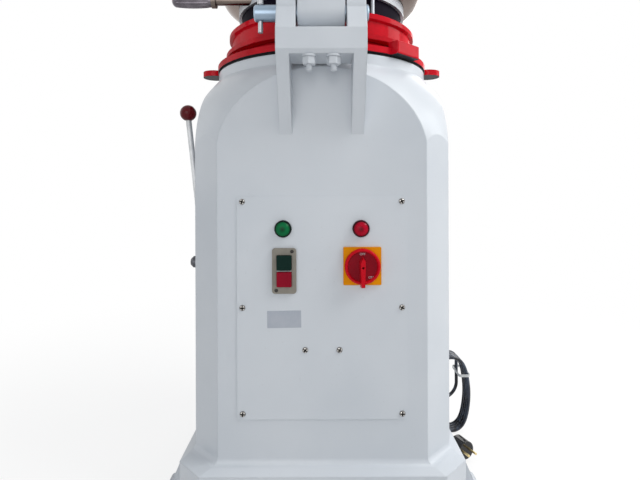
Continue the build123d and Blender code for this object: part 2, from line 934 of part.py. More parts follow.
def lever_switch():
    inner = wall - body_half
    cam_top = lever_z + cam_r + cam_offset
    tip = cam_top + switch_gap
    shelf_low = tip + plunger - shelf_thick
    x_end = switch_width / 2 - cam_in
    shelf = block(inner, x_end, lever_y - switch_depth / 2, lever_y + switch_depth / 2, shelf_low, shelf_low + shelf_thick)
    body_low = shelf_low + shelf_thick
    body = block(
        x_end - switch_width, x_end, lever_y - switch_depth / 2, lever_y + switch_depth / 2, body_low, body_low + switch_high)
    return shelf + body + post(plunger_r, tip, shelf_low, -cam_in, lever_y)


# Head arm, bell, pressure ring and collar

pinion_r = gear_module * pinion_teeth / 2
pinion_y = -rack_pitch_y - pinion_r


def head_arm():
    outer_y = hinge_y - arm_lug_r
    outer_mid = (outer_y + arm_outer_round, arm_top - arm_outer_round)
    inner_mid = (arm_inner_y + arm_inner_round, arm_bottom - arm_inner_round)
    outline = [
        Line((outer_y, hinge_z), (outer_y, outer_mid[1])),
        CenterArc(outer_mid, arm_outer_round, 90, 90),
        Line((outer_mid[0], arm_top), (arm_nose, arm_top)),
        Line((arm_nose, arm_top), (arm_nose, arm_bottom)),
        Line((arm_nose, arm_bottom), (inner_mid[0], arm_bottom)),
        CenterArc(inner_mid, arm_inner_round, 90, 90),
        Line((arm_inner_y, inner_mid[1]), (arm_inner_y, hinge_z)),
        Line((arm_inner_y, hinge_z), (outer_y, hinge_z)),
    ]
    arm = side_profile(outline, arm_half)
    arm += bar_x(arm_lug_r, -arm_half, arm_half, hinge_y, hinge_z)
    arm += post(boss_flange_r, bell_top, bell_top + boss_flange)
    arm += post(boss_r, bell_top, bell_top + boss_high)
    tip_r = pinion_r + gear_module
    arm += bar_x(tip_r + pinion_room + pinion_house, -arm_half + 4, arm_half - 4, pinion_y, pinion_z)
    arm -= post(spindle_r + run_gap, bell_top - wall, bell_top + 2 * boss_high)
    arm -= bar_x(tip_r + pinion_room, -pinion_half - 1, pinion_half + 1, pinion_y, pinion_z)
    arm -= bar_x(pinion_shaft_r + run_gap, -2 * arm_half, 2 * arm_half, pinion_y, pinion_z)
    arm -= bar_x(pin_r + run_gap + bush_wall, -2 * arm_half, 2 * arm_half, hinge_y, hinge_z)
    for angle in bell_screw_angles:
        x, y = bell_screw_place(angle)
        arm -= post(bell_screw_r + hole_gap, bell_top - wall, bell_top + boss_flange + wall, x, y)
    return arm


def bell_screw_place(angle):
    return bell_screw_circle * cos(radians(angle)), bell_screw_circle * sin(radians(angle))


def hinge_bush():
    outer = pin_r + run_gap + bush_wall
    bush = bar_x(outer, -arm_half, arm_half, hinge_y, hinge_z)
    return bush - bar_x(pin_r + run_gap, -2 * arm_half, 2 * arm_half, hinge_y, hinge_z)


def bell():
    crown = bell_r - bell_crown_r
    bulge = bell_r - bell_rim_r
    rise = bell_top - bell_mid
    drop = bell_mid - bell_low
    hole = spindle_r + bell_hole_gap
    outline = [
        Line((bell_lip_r, bell_low), (bell_rim_r, bell_low)),
        EllipticalCenterArc((bell_rim_r, bell_mid), bulge, drop, -90, arc_size=90),
        EllipticalCenterArc((bell_crown_r, bell_mid), crown, rise, 0, arc_size=90),
        Line((bell_crown_r, bell_top), (hole, bell_top)),
        Line((hole, bell_top), (hole, bell_top - bell_wall)),
        Line((hole, bell_top - bell_wall), (bell_crown_r, bell_top - bell_wall)),
        EllipticalCenterArc((bell_crown_r, bell_mid), crown - bell_wall, rise - bell_wall, 0, arc_size=90),
        EllipticalCenterArc((bell_rim_r, bell_mid), bulge - bell_wall, drop - bell_wall, -90, arc_size=90),
        Line((bell_rim_r, bell_low + bell_wall), (bell_lip_r, bell_low + bell_wall)),
        Line((bell_lip_r, bell_low + bell_wall), (bell_lip_r, bell_low)),
    ]
    form = revolve(Plane.XZ * make_face(outline), Axis.Z)
    for angle in bell_screw_angles:
        x, y = bell_screw_place(angle)
        form -= post(bell_screw_r + hole_gap, bell_top - 2 * bell_wall, bell_top + bell_wall, x, y)
    return form


def bell_screws():
    low = bell_top - bell_wall
    seat = bell_top + boss_flange
    pieces = []
    for angle in bell_screw_angles:
        x, y = bell_screw_place(angle)
        screw = post(bell_screw_r, low, seat, x, y) + post(bell_screw_head_r, seat, seat + bell_screw_head, x, y)
        pieces.append(screw)
    return pieces


ring_low = floor_top + plate_thick + ring_clear
ring_seat = bell_low + bell_wall


def pressure_ring():
    inner = ring_r - ring_wall
    return turned([
        (inner, ring_low), (ring_r - 2, ring_low), (ring_r, ring_low + 2), (ring_r, ring_seat),
        (ring_flange_r, ring_seat), (ring_flange_r, ring_seat + ring_flange), (inner, ring_seat + ring_flange)])


collar_high = bell_low - collar_gap
collar_r = ring_r + collar_gap + collar_wall


def turning_collar():
    collar = tube(collar_r, ring_r + collar_gap, collar_low, collar_high)
    reach = ring_r + collar_gap + collar_pin_r
    x = reach * cos(radians(collar_pin_angle))
    y = reach * sin(radians(collar_pin_angle))
    pin = post(collar_pin_r, collar_low - collar_pin, (collar_low + collar_high) / 2, x, y)
    return collar + pin


handle_z = (collar_low + collar_high) / 2


def handle_rod():
    shaft = bar_x(handle_rod_r, handle_rod_end, -collar_r / 2, handle_y, handle_z)
    shaft -= post(collar_r, collar_low - wall, collar_high + wall)
    return shaft + bar_x(ferrule_r, handle_rod_end, handle_rod_end + ferrule, handle_y, handle_z)


def handle_grip():
    length = handle_rod_end - grip_end
    profile = [
        Line((0, 0), (grip_neck_r, 0)),
        ThreePointArc((grip_neck_r, 0), (grip_r, length * 0.35), (grip_neck_r, length * 0.9)),
        ThreePointArc((grip_neck_r, length * 0.9), (grip_neck_r * 0.8, length * 0.975), (grip_neck_r * 0.35, length)),
        Line((grip_neck_r * 0.35, length), (0, length)),
        Line((0, length), (0, 0)),
    ]
    form = revolve(Plane.XZ * make_face(profile), Axis.Z)
    return Pos(handle_rod_end, handle_y, handle_z) * Rot(0, -90, 0) * form


# Knives, press plate and spindle

chamber_r = ring_r - ring_wall
pieces_total = inner_pieces + middle_pieces + outer_pieces
inner_ring_r = chamber_r * sqrt(inner_pieces / pieces_total)
middle_ring_r = chamber_r * sqrt((inner_pieces + middle_pieces) / pieces_total)


def blade_pattern(thick, low, high, reach):
    shapes = []
    for radius in (inner_ring_r, middle_ring_r):
        shapes.append(tube(radius + thick / 2, radius - thick / 2, low, high))
    rows = ((inner_pieces, 0, inner_ring_r), (middle_pieces, inner_ring_r, middle_ring_r),
            (outer_pieces, middle_ring_r, reach))
    for count, start, end in rows:
        for k in range(count):
            shapes.append(Rot(0, 0, 360 / count * k) * block(start, end, -thick / 2, thick / 2, low, high))
    return shapes


def knife_grid():
    outer = chamber_r - knife_gap
    top = knife_low + knife_high
    grid = tube(outer, outer - blade, knife_low, top)
    grid = grid + blade_pattern(blade, knife_low, top, outer - blade / 2)
    carrier_r = outer - blade / 2
    tab_in = carrier_r - knife_carrier_wall
    for k in range(knife_tabs):
        tab = block(tab_in, carrier_r, -blade / 2, blade / 2, top, knife_carrier_low)
        grid += Rot(0, 0, 360 / knife_tabs * k) * tab
    return grid + tube(carrier_r, tab_in, knife_carrier_low, knife_carrier_low + knife_carrier)


pad_top = pad_low + pad_height
plate_top = pad_top + press_plate


def pressing_plate():
    pad_r = chamber_r - knife_gap - blade - pad_clear
    pads = post(pad_r, pad_low, pad_top)
    pads = pads - blade_pattern(blade + 2 * pad_clear, pad_low - wall, pad_top, pad_r + blade)
    return pads + post(press_plate_r, pad_top, plate_top)


def rack_gap(z):
    pitch = gear_module * pi
    lean = tan(radians(pressure_angle))
    half = pitch / 4 + backlash / 4
    add = gear_module + 1
    ded = 1.25 * gear_module
    face = Polyline(
        (-rack_pitch_y - add, z - half - add * lean), (-rack_pitch_y - add, z + half + add * lean),
        (-rack_pitch_y + ded, z + half - ded * lean), (-rack_pitch_y + ded, z - half + ded * lean), close=True)
    return side_profile(face, spindle_r + 1)


def press_spindle():
    spindle = post(spindle_r, plate_top, spindle_top)
    spindle += post(spindle_flange_r, plate_top, plate_top + spindle_flange)
    pitch = gear_module * pi
    reach = (rack_half + 1) * pitch
    flat = -rack_pitch_y - gear_module
    spindle -= block(-spindle_r, spindle_r, -2 * spindle_r, flat, pinion_z - reach, pinion_z + reach)
    for k in range(-rack_half, rack_half + 1):
        spindle -= rack_gap(pinion_z + k * pitch)
    return spindle


def pinion_outline():
    base = pinion_r * cos(radians(pressure_angle))
    tip = pinion_r + gear_module
    root = pinion_r - 1.25 * gear_module
    thick = gear_module * pi / 2 - backlash / 2

    def involute(angle):
        return tan(angle) - angle

    def half_angle(radius):
        contact = acos(base / radius)
        return thick / (2 * pinion_r) + involute(radians(pressure_angle)) - involute(contact)

    flank = [(root, half_angle(base)), (base, half_angle(base))]
    flank += [(radius, half_angle(radius)) for radius in (pinion_r, tip)]
    points = []
    for k in range(pinion_teeth):
        middle = 2 * pi * k / pinion_teeth
        sides = [(r, middle - a) for r, a in flank] + [(r, middle + a) for r, a in reversed(flank)]
        points += [(pinion_y + r * cos(a), pinion_z + r * sin(a)) for r, a in sides]
    return Polyline(*points, close=True)


lever_hub_in = -arm_half - lever_bar_gap
lever_hub_out_x = lever_hub_in - lever_bar_hub


def pinion_shaft():
    gear = side_profile(pinion_outline(), pinion_half)
    return gear + bar_x(pinion_shaft_r, lever_hub_out_x, arm_half, pinion_y, pinion_z)


def lever_point(distance):
    middle = (lever_hub_in + lever_hub_out_x) / 2
    lift = radians(lever_angle)
    return middle, pinion_y + distance * cos(lift), pinion_z + distance * sin(lift)


def press_lever_bar():
    bar = bar_x(lever_bar_hub_r, lever_hub_out_x, lever_hub_in, pinion_y, pinion_z)
    bar += rod(lever_bar_r, lever_point(0), lever_point(lever_bar))
    return bar - bar_x(pinion_shaft_r, lever_hub_out_x - wall, lever_hub_in + wall, pinion_y, pinion_z)


def press_lever_grip():
    start = lever_bar - lever_grip_socket
    neck = lever_grip_r * 0.8
    shoulder_r = lever_grip_r * 0.86
    tip = lever_grip_r * 0.4
    profile = [
        Line((0, 0), (neck, 0)),
        ThreePointArc((neck, 0), (lever_grip_r, lever_grip * 0.45), (shoulder_r, lever_grip * 0.9)),
        ThreePointArc((shoulder_r, lever_grip * 0.9), (lever_grip_r * 0.7, lever_grip * 0.97), (tip, lever_grip)),
        Line((tip, lever_grip), (0, lever_grip)),
        Line((0, lever_grip), (0, 0)),
    ]
    form = revolve(Plane.XZ * make_face(profile), Axis.Z)
    first = Vector(*lever_point(start))
    last = Vector(*lever_point(lever_bar))
    return Plane(first, z_dir=last - first) * form - rod(lever_bar_r, lever_point(0), lever_point(lever_bar))


# Mains cord

def cable_gland():
    z = lead_points[0][2]
    length = lead_points[0][0] - skirt_half
    sleeve = gland_nut + gland_dome
    body = turned([
        (0, -wall - gland_inside), (gland_thread_r, -wall - gland_inside), (gland_thread_r, 0), (gland_nut_r, 0),
        (gland_nut_r, gland_nut), (gland_dome_r, gland_nut), (gland_dome_r, sleeve - 4), (gland_end_r + 2, sleeve),
        (gland_end_r, length), (0, length)])
    return along_x(body, skirt_half, gland_y, z)


def round_sweep(path, radius):
    start = Plane(path @ 0, z_dir=path % 0)
    return sweep(start * Circle(radius), path=path)


def free_cord(points, name):
    points = [Vector(*p) for p in points]
    radii = []
    for before, corner, after in zip(points, points[1:], points[2:]):
        turn = radians((corner - before).get_angle(after - corner))
        run = min((corner - before).length, (after - corner).length)
        radii.append(0.45 * run / tan(turn / 2))
    path = FilletPolyline(*points, radius=radii)
    solid = round_sweep(path, cord_r)
    print(name, "radii", [round(r, 1) for r in radii], "length", round(path.length, 1),
          "volume share", round(solid.volume / (pi * cord_r ** 2 * path.length), 4))
    return solid


def arc_pair(start, start_dir, end, end_dir, first):
    chord = end - start
    across = start_dir.dot(end_dir) - 1
    second = (chord.dot(chord) - 2 * first * chord.dot(start_dir)) / (2 * (chord.dot(end_dir) - first * across))
    near = start + start_dir * first
    far = end - end_dir * second
    joint = (near * second + far * first) * (1 / (first + second))
    return [TangentArc(start, joint, tangent=start_dir), TangentArc(joint, end, tangent=(far - near).normalized())]


def fold_reach(half_width):
    square = (half_width ** 2 + hank_half_high ** 2) / 2
    return (square - hank_side_reach * hank_half_high) / (half_width + hank_side_reach)


def hank_path():
    drift = -hank_step / (4 * hank_half_high)
    up = Vector(0, drift, 1).normalized()
    down = Vector(0, drift, -1).normalized()
    left = Vector(-1, drift, 0).normalized()
    right = Vector(1, drift, 0).normalized()
    begin = Vector(*lead_points[-1])
    y = begin.Y
    bend = begin + Vector(0, 0, 2 * cord_r)
    edges = [Line(begin, bend)]
    top_z = hank_z + hank_half_high
    step = hank_step / 4
    y -= hank_first_drift
    here = Vector(hank_x, y, top_z)
    edges += arc_pair(bend, Vector(0, 0, 1), here, left, (top_z - bend.Z) * hank_first_share)
    for turn, half in enumerate(hank_half_widths):
        fold = fold_reach(half)
        stops = [
            (Vector(hank_x - half, 0, hank_z), left, down, fold),
            (Vector(hank_x, 0, hank_z - hank_half_high), down, right, hank_side_reach),
            (Vector(hank_x + half, 0, hank_z), right, up, fold),
            (Vector(hank_x, 0, top_z), up, left, hank_side_reach),
        ]
        for place, out, into, first in stops:
            y -= step
            there = Vector(place.X, y, place.Z)
            edges += arc_pair(here, out, there, into, first)
            here = there
    half = hank_half_widths[-1]
    y -= step
    there = Vector(hank_x - half, y, hank_z)
    edges += arc_pair(here, left, there, Vector(0, 0, -1), fold_reach(half))
    edges.append(Line(there, there - Vector(0, 0, hank_tail)))
    return Wire(edges)


def least_gap(path):
    count = 400
    points = [path @ (k / count) for k in range(count + 1)]
    apart = int(count * 0.08)
    nearest = min((points[i] - points[j]).length for i in range(count) for j in range(i + apart, count + 1))
    return nearest - 2 * cord_r


def cord_hank():
    path = hank_path()
    bends = [edge.radius for edge in path.edges() if edge.geom_type == GeomType.CIRCLE]
    solid = round_sweep(path, cord_r)
    print("hank length", round(path.length, 1), "least radius", round(min(bends), 1), "least gap",
          round(least_gap(path), 2), "end", path @ 1,
          "volume share", round(solid.volume / (pi * cord_r ** 2 * path.length), 4))
    return solid


def cord_tie():
    reach_x = cord_r + tie_gap
    left_x = hank_x + hank_fold_r - 2 * cord_r
    right_x = hank_x + hank_half_widths[-1] + reach_x - tie_in
    near_y = gland_y - hank_first_drift - hank_step * len(hank_half_widths) - reach_x
    far_y = gland_y + reach_x
    middle = Pos((left_x + right_x) / 2, (near_y + far_y) / 2, tie_z - tie_high / 2)
    inner = RectangleRounded(right_x - left_x, far_y - near_y, reach_x)
    outer = RectangleRounded(right_x - left_x + 2 * tie_thick, far_y - near_y + 2 * tie_thick, reach_x + tie_thick)
    return middle * extrude(outer - inner, tie_high)


def plug_frame():
    last = Vector(*tail_points[-1])
    way = last - Vector(*tail_points[-2])
    way = Vector(way.X, way.Y, 0).normalized()
    return Plane(last, z_dir=way, x_dir=way.cross(Vector(0, 0, 1)))


def plug_body():
    length = plug_boot + plug_length
    body = turned([
        (0, 0), (cord_r + 1.5, 0), (cord_r + 4, plug_boot), (plug_r - 6, plug_boot + 2), (plug_r, plug_boot + 9),
        (plug_r, length), (0, length)])
    for side in (-1, 1):
        body -= post(plug_pin_r, length - 8, length + 1, side * plug_pin_pitch / 2)
    return plug_frame() * body


def plug_pins():
    length = plug_boot + plug_length
    pins = []
    for side in (-1, 1):
        x = side * plug_pin_pitch / 2
        pins.append(plug_frame() * post(plug_pin_r, length - 8, length + plug_pin, x))
    return pins


def build_nodes():
    nodes["column_shell"] = column_shell()
    nodes["base_skirt"] = base_skirt()
    nodes["back_panel"] = back_panel()
    nodes["panel_screws"] = panel_screws()
    nodes["lamp_bezels"] = lamp_bezels()
    nodes["green_lamp"] = lamp(-lamp_x)
    nodes["red_lamp"] = lamp(lamp_x)
    nodes["button_station"] = button_station()
    nodes["start_button"] = push_button(button_heights()[0])
    nodes["stop_button"] = push_button(button_heights()[1])
    nodes["isolator_plate"] = isolator_plate()
    nodes["isolator_knob"] = isolator_knob()
    nodes["hinge_yoke"] = hinge_yoke()
    nodes["hinge_pin"] = hinge_pin()
    nodes["pin_lock_rod"] = pin_lock_rod()
    nodes["friction_pad"] = friction_pad()
    nodes["bridge_studs"] = bridge_studs()
    nodes["ring_gasket"] = tube(gasket_r, ring_bore_r, deck_z, base_low)
    nodes["base_ring"] = base_ring()
    nodes["table_casting"] = table_casting()
    nodes["moulding_plate"] = moulding_plate()
    nodes["table_bearing"] = table_bearing()
    nodes["crank_shaft"] = crank_shaft()
    for k, (x, y) in enumerate(idler_places()):
        nodes[f"idler_crank_{k + 1}"] = idler_crank(x, y)
    nodes["bearing_housing"] = bearing_housing()
    nodes["main_bearings"] = main_bearings()
    nodes["balance_weight"] = balance_weight()
    nodes["driven_pulley"] = pulley(driven_r, shaft_r)
    nodes["v_belt"] = v_belt()
    nodes["motor_body"] = motor_body()
    nodes["motor_rotor"] = [motor_shaft(), Pos(0, motor_y, 0) * pulley(driver_r, motor_shaft_r)]
    nodes["motor_bracket"] = motor_bracket()
    nodes["lever_bush"] = lever_bush()
    nodes["lever_shaft"] = lever_shaft()
    nodes["lever_rod"] = lever_rod()
    nodes["lever_ball"] = lever_ball()
    nodes["lever_switch"] = lever_switch()
    nodes["head_arm"] = head_arm()
    nodes["hinge_bush"] = hinge_bush()
    nodes["bell"] = bell()
    nodes["bell_screws"] = bell_screws()
    nodes["pressure_ring"] = pressure_ring()
    nodes["turning_collar"] = turning_collar()
    nodes["handle_rod"] = handle_rod()
    nodes["handle_grip"] = handle_grip()
    nodes["knife_grid"] = knife_grid()
    nodes["press_plate"] = pressing_plate()
    nodes["press_spindle"] = press_spindle()
    nodes["pinion_shaft"] = pinion_shaft()
    nodes["press_lever_bar"] = press_lever_bar()
    nodes["press_lever_grip"] = press_lever_grip()
    nodes["cable_gland"] = cable_gland()
    nodes["cord_lead"] = free_cord(lead_points, "lead")
    nodes["cord_hank"] = cord_hank()
    nodes["cord_tail"] = free_cord(tail_points, "tail")
    nodes["cord_tie"] = cord_tie()
    nodes["plug_body"] = plug_body()
    nodes["plug_pins"] = plug_pins()


build_nodes()
os.makedirs("parts", exist_ok=True)
for name, shape in nodes.items():
    if isinstance(shape, list):
        shape = Compound(children=shape)
    export_step(shape, f"parts/{name}.step")
print(len(nodes), "nodes written")
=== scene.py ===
from math import cos, pi, radians, sin, tan

import bpy
from mathutils import Matrix, Vector


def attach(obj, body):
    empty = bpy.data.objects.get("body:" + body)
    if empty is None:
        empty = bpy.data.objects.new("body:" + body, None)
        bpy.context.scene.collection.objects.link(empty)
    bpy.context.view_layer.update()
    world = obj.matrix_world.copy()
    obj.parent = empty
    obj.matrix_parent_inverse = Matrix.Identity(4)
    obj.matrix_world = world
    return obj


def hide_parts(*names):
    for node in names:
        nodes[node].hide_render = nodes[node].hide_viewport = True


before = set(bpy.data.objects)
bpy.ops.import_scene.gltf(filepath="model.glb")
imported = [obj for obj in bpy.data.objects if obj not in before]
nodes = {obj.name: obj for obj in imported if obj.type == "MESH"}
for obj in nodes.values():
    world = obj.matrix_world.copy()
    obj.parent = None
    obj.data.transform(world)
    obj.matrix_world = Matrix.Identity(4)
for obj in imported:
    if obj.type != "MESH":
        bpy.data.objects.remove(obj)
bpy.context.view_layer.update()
print("frame loaded,", len(nodes), "nodes")


class Signal:
    def __init__(self, bench, socket):
        self.bench = bench
        self.socket = socket

    def maths(self, operation, first, second=0.0):
        return self.bench.node("ShaderNodeMath", {"operation": operation}, {0: first, 1: second})

    def __add__(self, other):
        return self.maths("ADD", self, other)

    def __radd__(self, other):
        return self.maths("ADD", other, self)

    def __sub__(self, other):
        return self.maths("SUBTRACT", self, other)

    def __rsub__(self, other):
        return self.maths("SUBTRACT", other, self)

    def __mul__(self, other):
        return self.maths("MULTIPLY", self, other)

    def __rmul__(self, other):
        return self.maths("MULTIPLY", other, self)

    def __truediv__(self, other):
        return self.maths("DIVIDE", self, other)

    def __rtruediv__(self, other):
        return self.maths("DIVIDE", other, self)

    def __pow__(self, other):
        return self.maths("POWER", self, other)

    def __mod__(self, other):
        return self.maths("FLOORED_MODULO", self, other)

    def __gt__(self, other):
        return self.maths("GREATER_THAN", self, other)

    def __lt__(self, other):
        return self.maths("LESS_THAN", self, other)

    def most(self, other):
        return self.maths("MAXIMUM", self, other)


class Bench:
    def __init__(self, tree):
        self.tree = tree

    def node(self, kind, settings=None, sockets=None, out=0):
        made = self.tree.nodes.new(kind)
        for name, value in (settings or {}).items():
            setattr(made, name, value)
        for name, value in (sockets or {}).items():
            self.feed(made.inputs[name], value)
        return Signal(self, made.outputs[out])

    def feed(self, target, value):
        for part in value if isinstance(value, list) else [value]:
            if isinstance(part, Signal):
                self.tree.links.new(part.socket, target)
            else:
                target.default_value = part

    def axes(self, vector):
        outs = self.node("ShaderNodeSeparateXYZ", None, {0: vector}).socket.node.outputs
        return [Signal(self, outs[k]) for k in range(3)]

    def joined(self, x, y, z):
        return self.node("ShaderNodeCombineXYZ", None, {0: x, 1: y, 2: z})

    def mix(self, factor, first, second):
        return self.node("ShaderNodeMix", {"data_type": "RGBA"}, {0: factor, 6: first, 7: second}, out=2)

    def ramp(self, value, low, high, first=0.0, last=1.0):
        return self.node("ShaderNodeMapRange", {"interpolation_type": "SMOOTHSTEP"}, {
            "Value": value, "From Min": low, "From Max": high, "To Min": first, "To Max": last})

    def seenRay(self):
        outs = self.node("ShaderNodeLightPath").socket.node.outputs
        camera, glossy, through = [Signal(self, outs["Is " + kind + " Ray"])
                                   for kind in ("Camera", "Glossy", "Transmission")]
        return camera.most(glossy).most(through)


def fromAxis(across, above):
    return (across * across + above * above) ** 0.5


def tint(red, green, blue):
    def linear(v):
        v = v / 255
        return v / 12.92 if v <= 0.04045 else ((v + 0.055) / 1.055) ** 2.4
    return linear(red), linear(green), linear(blue), 1.0


def toned(colour, by):
    return tint(*[min(255, v * by) for v in colour])


class Finish(Bench):
    def __init__(self, name):
        self.material = bpy.data.materials.new(name)
        self.material.use_nodes = True
        super().__init__(self.material.node_tree)
        self.shader = self.tree.nodes["Principled BSDF"]
        self.spot = self.node("ShaderNodeTexCoord", out="Object")
        self.facing = Signal(self, self.spot.socket.node.outputs["Normal"])

    def stretched(self, scale):
        return self.node("ShaderNodeMapping", {"vector_type": "POINT"}, {"Vector": self.spot, "Scale": scale})

    def noise(self, scale, detail=2.0, rough=0.5, stretch=None, vector=None):
        vector = vector or (self.stretched(stretch) if stretch else self.spot)
        return self.node("ShaderNodeTexNoise", None, {
            "Vector": vector, "Scale": scale, "Detail": detail, "Roughness": rough})

    def soften(self, radius):
        return self.node("ShaderNodeBevel", {"samples": 4}, {"Radius": radius})

    def finish(self, colour, roughness, bump=None, lift=0.0004, strength=0.5, normal=None, metallic=0.0,
               **fixed):
        self.feed(self.shader.inputs["Base Color"], colour)
        self.feed(self.shader.inputs["Roughness"], roughness)
        self.feed(self.shader.inputs["Metallic"], metallic)
        if bump is not None:
            sockets = {"Height": bump, "Distance": lift, "Strength": strength}
            if normal is not None:
                sockets["Normal"] = normal
            normal = self.node("ShaderNodeBump", None, sockets)
        if normal is not None:
            self.feed(self.shader.inputs["Normal"], normal)
        for name, value in fixed.items():
            self.feed(self.shader.inputs[name.replace("_", " ")], value)
        return self.material


def added(name, data):
    made = bpy.data.objects.new(name, data)
    bpy.context.scene.collection.objects.link(made)
    return made


def wear(materialMade, *names):
    for name in names:
        mesh = nodes[name].data
        mesh.materials.clear()
        mesh.materials.append(materialMade)


def settle(piece, body, slot, *stoodFor):
    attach(piece, body)
    if stoodFor:
        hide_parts(*stoodFor)
    return piece


# Camera at the photograph's viewpoint; frame, horizon and axis are in pixels
photoCamera = {"place": (0.0, -1.041, 0.595), "lens": 25.875, "sensor": 36.0, "frame": (640, 480),
               "horizon": 184.0, "axis": 321.8, "roll": -0.2, "nearest": 0.01}


def setCamera(sizes):
    view = bpy.data.cameras.new("photoCamera")
    wide, high = sizes["frame"]
    view.lens = sizes["lens"]
    view.sensor_width = sizes["sensor"]
    view.shift_x = (wide / 2 - sizes["axis"]) / wide
    view.shift_y = (sizes["horizon"] - high / 2) / wide
    view.clip_start = sizes["nearest"]
    camera = added("photoCamera", view)
    camera.location = sizes["place"]
    level = Matrix.Rotation(radians(90), 3, "X") @ Matrix.Rotation(radians(sizes["roll"]), 3, "Z")
    camera.rotation_euler = level.to_euler()
    bpy.context.scene.camera = camera


setCamera(photoCamera)


# Mains cord on one smooth line through the lead, the hank and the tail, in millimetres until it is drawn
cordSizes = {
    "radius": 4.0, "length": 2.06, "hankX": 306.5, "hankZ": 93.5, "halfHigh": 88.0, "topY": 90.0, "step": 9.4,
    "turnPoints": 18, "halfWidths": (39.0, 40.0, 41.0, 42.0), "plainHalf": 38.8, "plainReach": 28.2,
    "legs": (6.75, 13.5, 16.0, 26.0), "bends": (27.0, 54.0, 74.0, 84.0),
    "lead": [(282, 102, 62), (283.9, 102, 62), (297.2, 102, 62), (309.8, 102, 66.1), (320.6, 102, 73.9),
             (328.4, 102, 84.7), (332.5, 102, 97.3), (332.5, 102, 110.6), (332.5, 103.5, 145.5),
             (332.5, 101.6, 162.2), (325.45, 97.1, 174.4), (313.25, 92.8, 181.5)],
    "tail": [(264.5, 50.05, 70.9), (264.5, 50.05, 53.7), (267.3, 44.1, 37.8), (272.4, 33, 25.6),
             (279.1, 18.55, 19), (282.8, 10.5, 19)],
    "colour": (58, 67, 82), "deep": (15, 19, 27), "worn": (86, 94, 106),
}


def hankQuarter(sizes, half):
    grow = 1 + (half - sizes["plainHalf"]) / sizes["plainReach"]
    legs = [leg * by for leg, by in zip(sizes["legs"], (grow, grow, grow, 1.0))]
    corners = [Vector((legs[0], sizes["halfHigh"]))]
    for leg, bend in zip(legs[1:], sizes["bends"]):
        corners.append(corners[-1] + Vector((leg * cos(radians(bend)), -leg * sin(radians(bend)))))
    return corners


def cordRoute(sizes):
    route = list(sizes["lead"])
    lean = tan(radians(sizes["bends"][-1]))
    fall = sizes["step"] / sizes["turnPoints"]
    y = sizes["topY"] - fall / 2
    for half in sizes["halfWidths"]:
        corners = hankQuarter(sizes, half)
        middle = corners[-1].x + corners[-1].y / lean
        left = [(-c.x, c.y) for c in corners] + [(-middle, 0.0)] + [(-c.x, -c.y) for c in reversed(corners)]
        for across, above in left + [(-u, -v) for u, v in left]:
            route.append((sizes["hankX"] + across, y, sizes["hankZ"] + above))
            y -= fall
    endX, endY = sizes["tail"][0][:2]
    for corner in corners:
        route.append((sizes["hankX"] - corner.x, max(y, endY), sizes["hankZ"] + corner.y))
        y -= fall
    route.append((endX, endY, route[-1][2] - (route[-1][0] - endX) * lean))
    return [Vector(p) / 1000 for p in route + sizes["tail"]]


def cordLine(name, points, radius):
    curve = bpy.data.curves.new(name, "CURVE")
    curve.dimensions = "3D"
    curve.bevel_depth = radius
    curve.bevel_resolution = 5
    curve.resolution_u = 8
    curve.use_fill_caps = True
    spline = curve.splines.new("NURBS")
    spline.points.add(len(points) - 1)
    for point, place in zip(spline.points, points):
        point.co = (*place, 1)
    spline.order_u = 3
    spline.use_endpoint_u = True
    return added(name, curve)


def cordFinish(sizes):
    f = Finish("cordRubber")
    texture = f.noise(700.0, 2.0, 0.6)
    paintedHighlightStreaks = f.noise(110.0, 2.0, 0.5, stretch=(1, 1, 0.1))  # painted highlight: pale streaks along the runs stand in for glossy highlights on the strands
    scuff = f.ramp(f.noise(120.0, 4.0, 0.7), 0.6, 0.72)
    colour = f.mix(f.ramp(paintedHighlightStreaks, 0.36, 0.62), tint(*sizes["deep"]), tint(*sizes["colour"]))
    colour = f.mix(scuff * 0.4, colour, tint(*sizes["worn"]))
    return f.finish(colour, 0.05 + texture * 0.06 + scuff * 0.15, bump=texture, lift=0.0002, strength=0.05,
                    Specular_IOR_Level=0.5)


mainsCord = cordLine("mainsCord", cordRoute(cordSizes), cordSizes["radius"] / 1000)
mainsCord.data.materials.append(cordFinish(cordSizes))
settle(mainsCord, "column", "cord_rubber", "cord_lead", "cord_hank", "cord_tail")
print("camera set, cord laid")


# Paint on castings and sheet metal
whiteEnamel = {"colour": (203, 208, 214), "shade": (196, 202, 209), "grime": (160, 156, 150),
               "grimeHigh": 0.12, "soft": 0.0035, "softFade": 0.02}


def enamel(name, sizes, floorGrime=0.0, gloss=0.26, crispBelow=None):
    f = Finish(name)
    z = f.axes(f.spot)[2]
    soft = sizes["soft"]
    if crispBelow:  # the legs run out flat on the column's face
        soft = f.ramp(z, crispBelow, crispBelow + sizes["softFade"]) * soft
    cloud = f.noise(3.5, 3.0, 0.55)
    fine = f.noise(60.0, 3.0, 0.6)
    peel = f.noise(420.0, 1.0, 0.4)
    colour = f.mix(f.ramp(cloud, 0.35, 0.7), tint(*sizes["colour"]), tint(*sizes["shade"]))
    speck = f.ramp(f.noise(170.0, 2.0, 0.5), 0.70, 0.76)
    colour = f.mix(speck * 0.10, colour, tint(*sizes["grime"]))
    if floorGrime:
        low = f.ramp(z, 0.0, sizes["grimeHigh"], 1.0, 0.0)
        colour = f.mix(low * f.ramp(fine, 0.35, 0.75) * floorGrime, colour, tint(*sizes["grime"]))
    rough = gloss + cloud * 0.10 + fine * 0.06
    return f.finish(
        colour, rough, bump=peel + cloud * 0.6, lift=0.0003, strength=0.16,
        normal=f.soften(soft) if sizes["soft"] else None, Specular_IOR_Level=0.35, Coat_Weight=0.15,
        Coat_Roughness=0.12)


